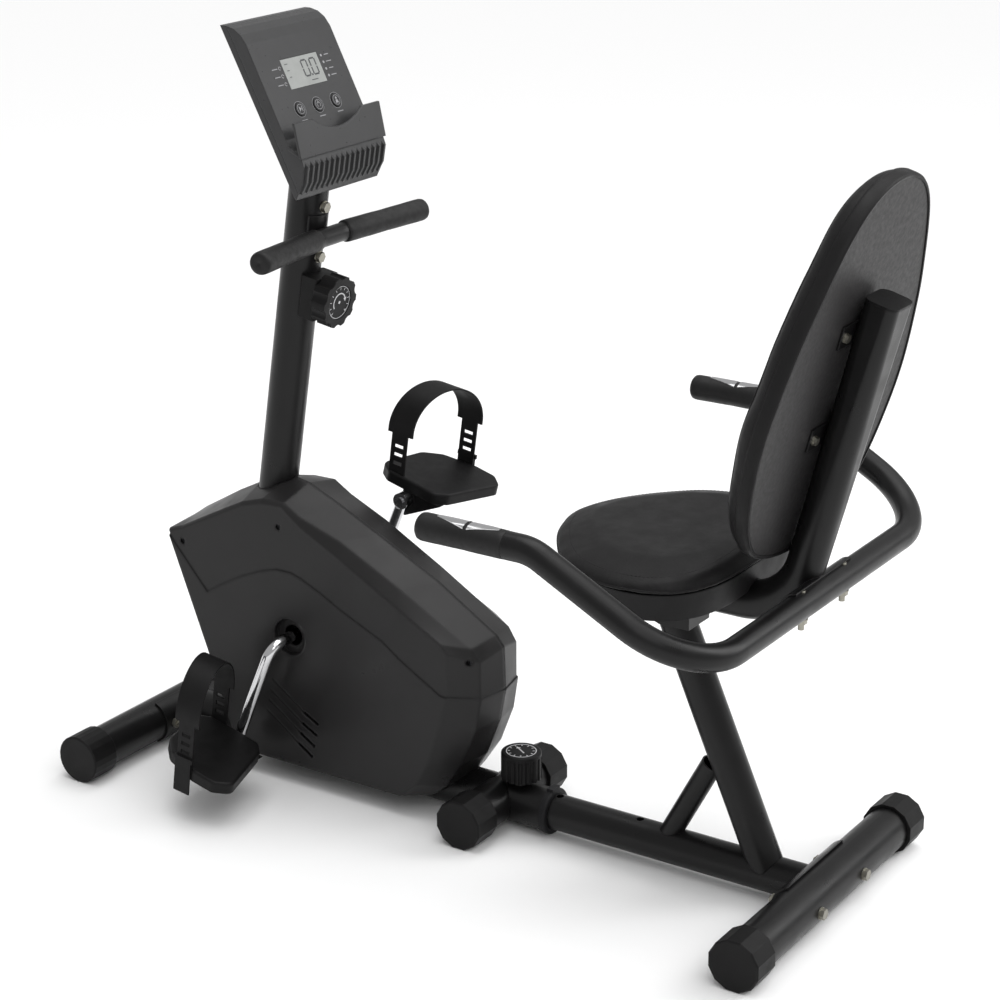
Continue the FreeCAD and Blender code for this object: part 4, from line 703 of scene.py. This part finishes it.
# ---- foam grips ---------------------------------------------------------------------
SIDES = {-1: "left", 1: "right"}
ARM_BORE, ARM_RADIUS, ARM_INSET = 16.0, 17.4, 17.5            # inset of the middle from the CAD box
BAR_BORE, BAR_RADIUS = 12.8, 15.3
END_REACH = 0.012                                 # metres from an end that count as its rim


def sleeve(name, start, end, bore, radius, material):
    """A foam sleeve with a rounded rim, a closed far end and a slightly uneven wall."""
    along = (end - start).normalized()
    normal = along.orthogonal().normalized()
    side = along.cross(normal)
    tip = (end - start).length / MM
    profile = [(bore, 0.0), (radius - 2.6, 0.0), (radius - 0.9, 0.5), (radius, 2.4)]
    steps = 16
    for i in range(1, steps):
        t = i / steps
        profile.append((radius + 0.16 * math.sin(9 * t) + 0.1 * math.sin(23 * t), tip * t))
    profile += [(radius, tip - 5.5), (radius - 0.7, tip - 2.6), (radius - 2.6, tip - 0.7),
                (radius - 5.4, tip), (2.4, tip), (1.6, tip - 0.8), (0.2, tip - 0.8)]
    rings = [round_about(start + along * (d * MM), normal, side, r * MM, 48) for r, d in profile]
    return loft(name, rings, material)


def middle_of(points):
    return sum(points, Vector()) / len(points)


def grips(materials):
    """Sleeves on the armrests and the handlebar, in place of the plain CAD ones."""
    arms, bars = [], []
    low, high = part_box("armrest_grips")
    z = (low.z + high.z) / 2
    for side, word in SIDES.items():
        x = side * (high.x - ARM_INSET * MM)
        arms.append(sleeve("arm_sleeve_" + word, Vector((x, low.y, z)), Vector((x, high.y, z)),
                           ARM_BORE, ARM_RADIUS, materials["foam"]))
        vertices = [v.co for v in NODES["handlebar_grips"].data.vertices if v.co.x * side > 0]
        nearest, farthest = min(abs(v.x) for v in vertices), max(abs(v.x) for v in vertices)
        end = middle_of([v for v in vertices if abs(v.x) > farthest - END_REACH])
        start = middle_of([v for v in vertices if abs(v.x) < nearest + END_REACH])
        along = (end - start).normalized()
        reach = [along.dot(v - start) for v in vertices]
        bars.append(sleeve("bar_sleeve_" + word, start + along * min(reach),
                           start + along * max(reach), BAR_BORE, BAR_RADIUS, materials["foam"]))
    for piece in arms:
        settle(piece, "seat_carriage")
        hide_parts("armrest_grips")
    for piece in bars:
        settle(piece, "frame")
        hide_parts("handlebar_grips")


# ---- printed marks ------------------------------------------------------------------
class Sheet:
    """Thin printed marks on a plane: an origin, and unit vectors across and up."""

    THICK = 0.00012

    def __init__(self, origin, across, up):
        self.origin, self.across, self.up = origin, across.normalized(), up.normalized()
        self.out = self.across.cross(self.up).normalized()
        self.points, self.faces = [], []

    def place(self, x, y, h):
        return self.origin + self.across * (x * MM) + self.up * (y * MM) + self.out * h

    def polygon(self, outline):
        base, count = len(self.points), len(outline)
        for h in (0.0, self.THICK):
            self.points += [self.place(x, y, h) for x, y in outline]
        self.faces.append(tuple(base + i for i in range(count))[::-1])
        self.faces.append(tuple(base + count + i for i in range(count)))
        for i in range(count):
            j = (i + 1) % count
            self.faces.append((base + i, base + j, base + count + j, base + count + i))

    def bar(self, x, y, length, width, angle=0.0):
        c, s = math.cos(angle), math.sin(angle)
        a, b = length / 2, width / 2
        corners = ((-a, -b), (a, -b), (a, b), (-a, b))
        self.polygon([(x + c * u - s * v, y + s * u + c * v) for u, v in corners])

    def arc(self, x, y, radius, width, start, stop, steps):
        """A band along a circle, between two angles in degrees."""
        angles = [math.radians(start + (stop - start) * i / steps) for i in range(steps + 1)]
        inner, outer = radius - width / 2, radius + width / 2
        for a, b in zip(angles, angles[1:]):
            corners = ((inner, a), (outer, a), (outer, b), (inner, b))
            self.polygon([(x + r * math.cos(turn), y + r * math.sin(turn)) for r, turn in corners])

    def ticks(self, radius, length, width, angles):
        """Short bars pointing away from the middle."""
        for angle in (math.radians(degrees) for degrees in angles):
            self.bar(radius * math.cos(angle), radius * math.sin(angle), length, width, angle)

    def disc(self, x, y, radius, count=20):
        angles = [2 * math.pi * i / count for i in range(count)]
        self.polygon([(x + radius * math.cos(a), y + radius * math.sin(a)) for a in angles])

    def finish(self, name, material, body):
        made = mesh_object(name, self.points, self.faces, material, smooth=False)
        weld_points(made, 1e-7)
        settle(made, body)


ACROSS = Vector((1, 0, 0))
UPRIGHT = math.pi / 2                             # a bar's turn
MARK_LIFT = 0.00002                               # of a mark's back from the face under it
KEY_RISE = 0.0015

# The console's sloping face: y and z of its lower and upper edge, and y for each millimetre up it.
FACE_BOTTOM, FACE_TOP = (762.5, 937.5), (823.0, 1056.5)
FACE_SLOPE = 0.4532
SCREEN_LOW_Y, SCREEN_HIGH_Y, KEY_Y = 791.0, 808.8, 778.0
KEYS = [("left", -38.7), ("middle", 0.0), ("right", 38.7)]
KEY_RING, KEY_TOP_RING = 10.9, 6.6


def up_the_face(y):
    return (y - FACE_BOTTOM[0]) / FACE_SLOPE


def lit_zero(sheet, x, y):
    """The six outer bars of a seven-bar figure."""
    wide, tall, thick = 9.5, 11.0, 2.1
    for end in (1, -1):
        sheet.bar(x, y + end * tall, wide, thick)
        for side in (1, -1):
            sheet.bar(x + side * (wide / 2 + 0.7), y + end * tall / 2, tall - 1.6, thick, UPRIGHT)


def screen_marks(materials, low, up, out, middle):
    digits = Sheet(low - out * Sheet.THICK, ACROSS, up)
    for x in (6.0, 24.0):
        lit_zero(digits, x, middle + 3.0)
    digits.disc(15.0, middle - 7.6, 1.4)
    digits.bar(16.0, middle - 14.6, 13.0, 1.1)
    for i in range(3):
        digits.bar(-30.0, middle + 13.5 - 9 * i, 6.0 - i, 1.0)
    digits.finish("display_digits", materials["digit"], "frame")


def face_marks(materials, low, up, out, middle, key_up):
    """The small marks beside the screen, and a ring round each key with a bar below it."""
    marks = Sheet(low + out * MARK_LIFT, ACROSS, up)
    for i in range(3):
        y = middle + 10 - 11 * i
        marks.bar(-56, y, 11, 1.2)
        marks.arc(-45.5, y, 2.2, 0.8, 0, 300, 12)
    for i in range(4):
        y = middle + 14.5 - 9.5 * i
        marks.bar(57, y, 9 + 2 * (i % 2), 1.2)
        marks.disc(46, y, 1.9, 10)
    for _, x in KEYS:
        marks.bar(x + 1, key_up - 15.5, 12, 1.3)
        marks.arc(x, key_up, KEY_RING, 0.45, 0, 360, 40)
    marks.finish("console_marks", materials["print"], "frame")


def key_marks(materials, low, up, out, key_up):
    """A ring and a small sign on each key."""
    for name, x in KEYS:
        key = Sheet(low + out * (KEY_RISE + MARK_LIFT), ACROSS, up)
        key.arc(x, key_up, KEY_TOP_RING, 0.6, 0, 360, 36)
        if name == "left":
            key.polygon([(x - 2.8, key_up - 3.4), (x + 1.6, key_up + 0.4), (x - 2.8, key_up + 4.0)])
            key.bar(x + 2.9, key_up + 0.2, 7.0, 1.3, UPRIGHT)
        elif name == "middle":
            key.arc(x, key_up, 3.4, 0.8, -60, 240, 20)
            key.bar(x, key_up + 3.4, 4.2, 0.9, UPRIGHT)
        else:
            key.disc(x, key_up + 2.6, 1.7, 14)
            key.polygon([(x - 3.0, key_up - 4.2), (x + 3.0, key_up - 4.2),
                         (x + 1.9, key_up + 0.2), (x - 1.9, key_up + 0.2)])
        key.finish("key_mark_" + name, materials["print"], name + "_key")


def console_marks(materials):
    low, high = at(0, *FACE_BOTTOM), at(0, *FACE_TOP)
    up = (high - low).normalized()
    out = ACROSS.cross(up)
    middle = (up_the_face(SCREEN_LOW_Y) + up_the_face(SCREEN_HIGH_Y)) / 2
    key_up = up_the_face(KEY_Y)
    screen_marks(materials, low, up, out, middle)
    face_marks(materials, low, up, out, middle, key_up)
    key_marks(materials, low, up, out, key_up)


# The mast's lean, the y where its middle line meets the floor, and the dial's place on it.
MAST_LEAN = math.radians(9.25)
MAST_FOOT_Y = 936.3
DIAL_Z, DIAL_FACE = 713.0, 69.5                   # height, and its face's distance from the middle line


def dial_marks(materials):
    up = Vector((0, -math.sin(MAST_LEAN), math.cos(MAST_LEAN)))
    rear = Vector((0, -math.cos(MAST_LEAN), -math.sin(MAST_LEAN)))
    centre = at(0, MAST_FOOT_Y - DIAL_Z * math.tan(MAST_LEAN), DIAL_Z)
    dial = Sheet(centre + rear * (DIAL_FACE * MM + MARK_LIFT), ACROSS, up)
    dial.arc(0, 0, 22.6, 0.9, 0, 360, 64)
    dial.ticks(19.6, 3.4, 0.9, [225 - 27 * i for i in range(11)])
    dial.arc(0, 0, 12.5, 1.9, 215, 20, 36)
    tip = math.radians(14)
    x, y = 12.5 * math.cos(tip), 12.5 * math.sin(tip)
    dial.polygon([(x - 3.4, y + 1.2), (x + 3.0, y + 2.0), (x + 0.4, y - 4.2)])
    dial.bar(-15.5, -14.5, 4.2, 1.0)
    dial.bar(15.5, -14.5, 4.2, 1.0)
    dial.bar(15.5, -14.5, 4.2, 1.0, UPRIGHT)
    dial.disc(0, 0, 2.2, 16)
    dial.finish("dial_marks", materials["white_print"], "tension_dial")


def knob_marks(materials):
    low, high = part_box("adjust_knob")
    top = Vector(((low.x + high.x) / 2, (low.y + high.y) / 2, high.z + MARK_LIFT))
    knob = Sheet(top, ACROSS, Vector((0, 1, 0)))
    knob.arc(0, 0, 20.5, 1.3, 0, 360, 60)
    knob.ticks(17.2, 3.0, 1.5, [30 * i for i in range(12)])
    knob.bar(0, 0, 17.0, 2.0, math.radians(58))
    knob.polygon([(2.4, 9.6), (7.4, 5.2), (7.6, 12.4)])
    knob.finish("knob_marks", materials["white_print"], "seat_lock")


# ---- everything ---------------------------------------------------------------------
def main():
    materials = make_materials()
    set_camera()
    set_stage()
    dress_nodes(materials)
    backrest(materials)
    seat(materials)
    grips(materials)
    console_marks(materials)
    dial_marks(materials)
    knob_marks(materials)


main()
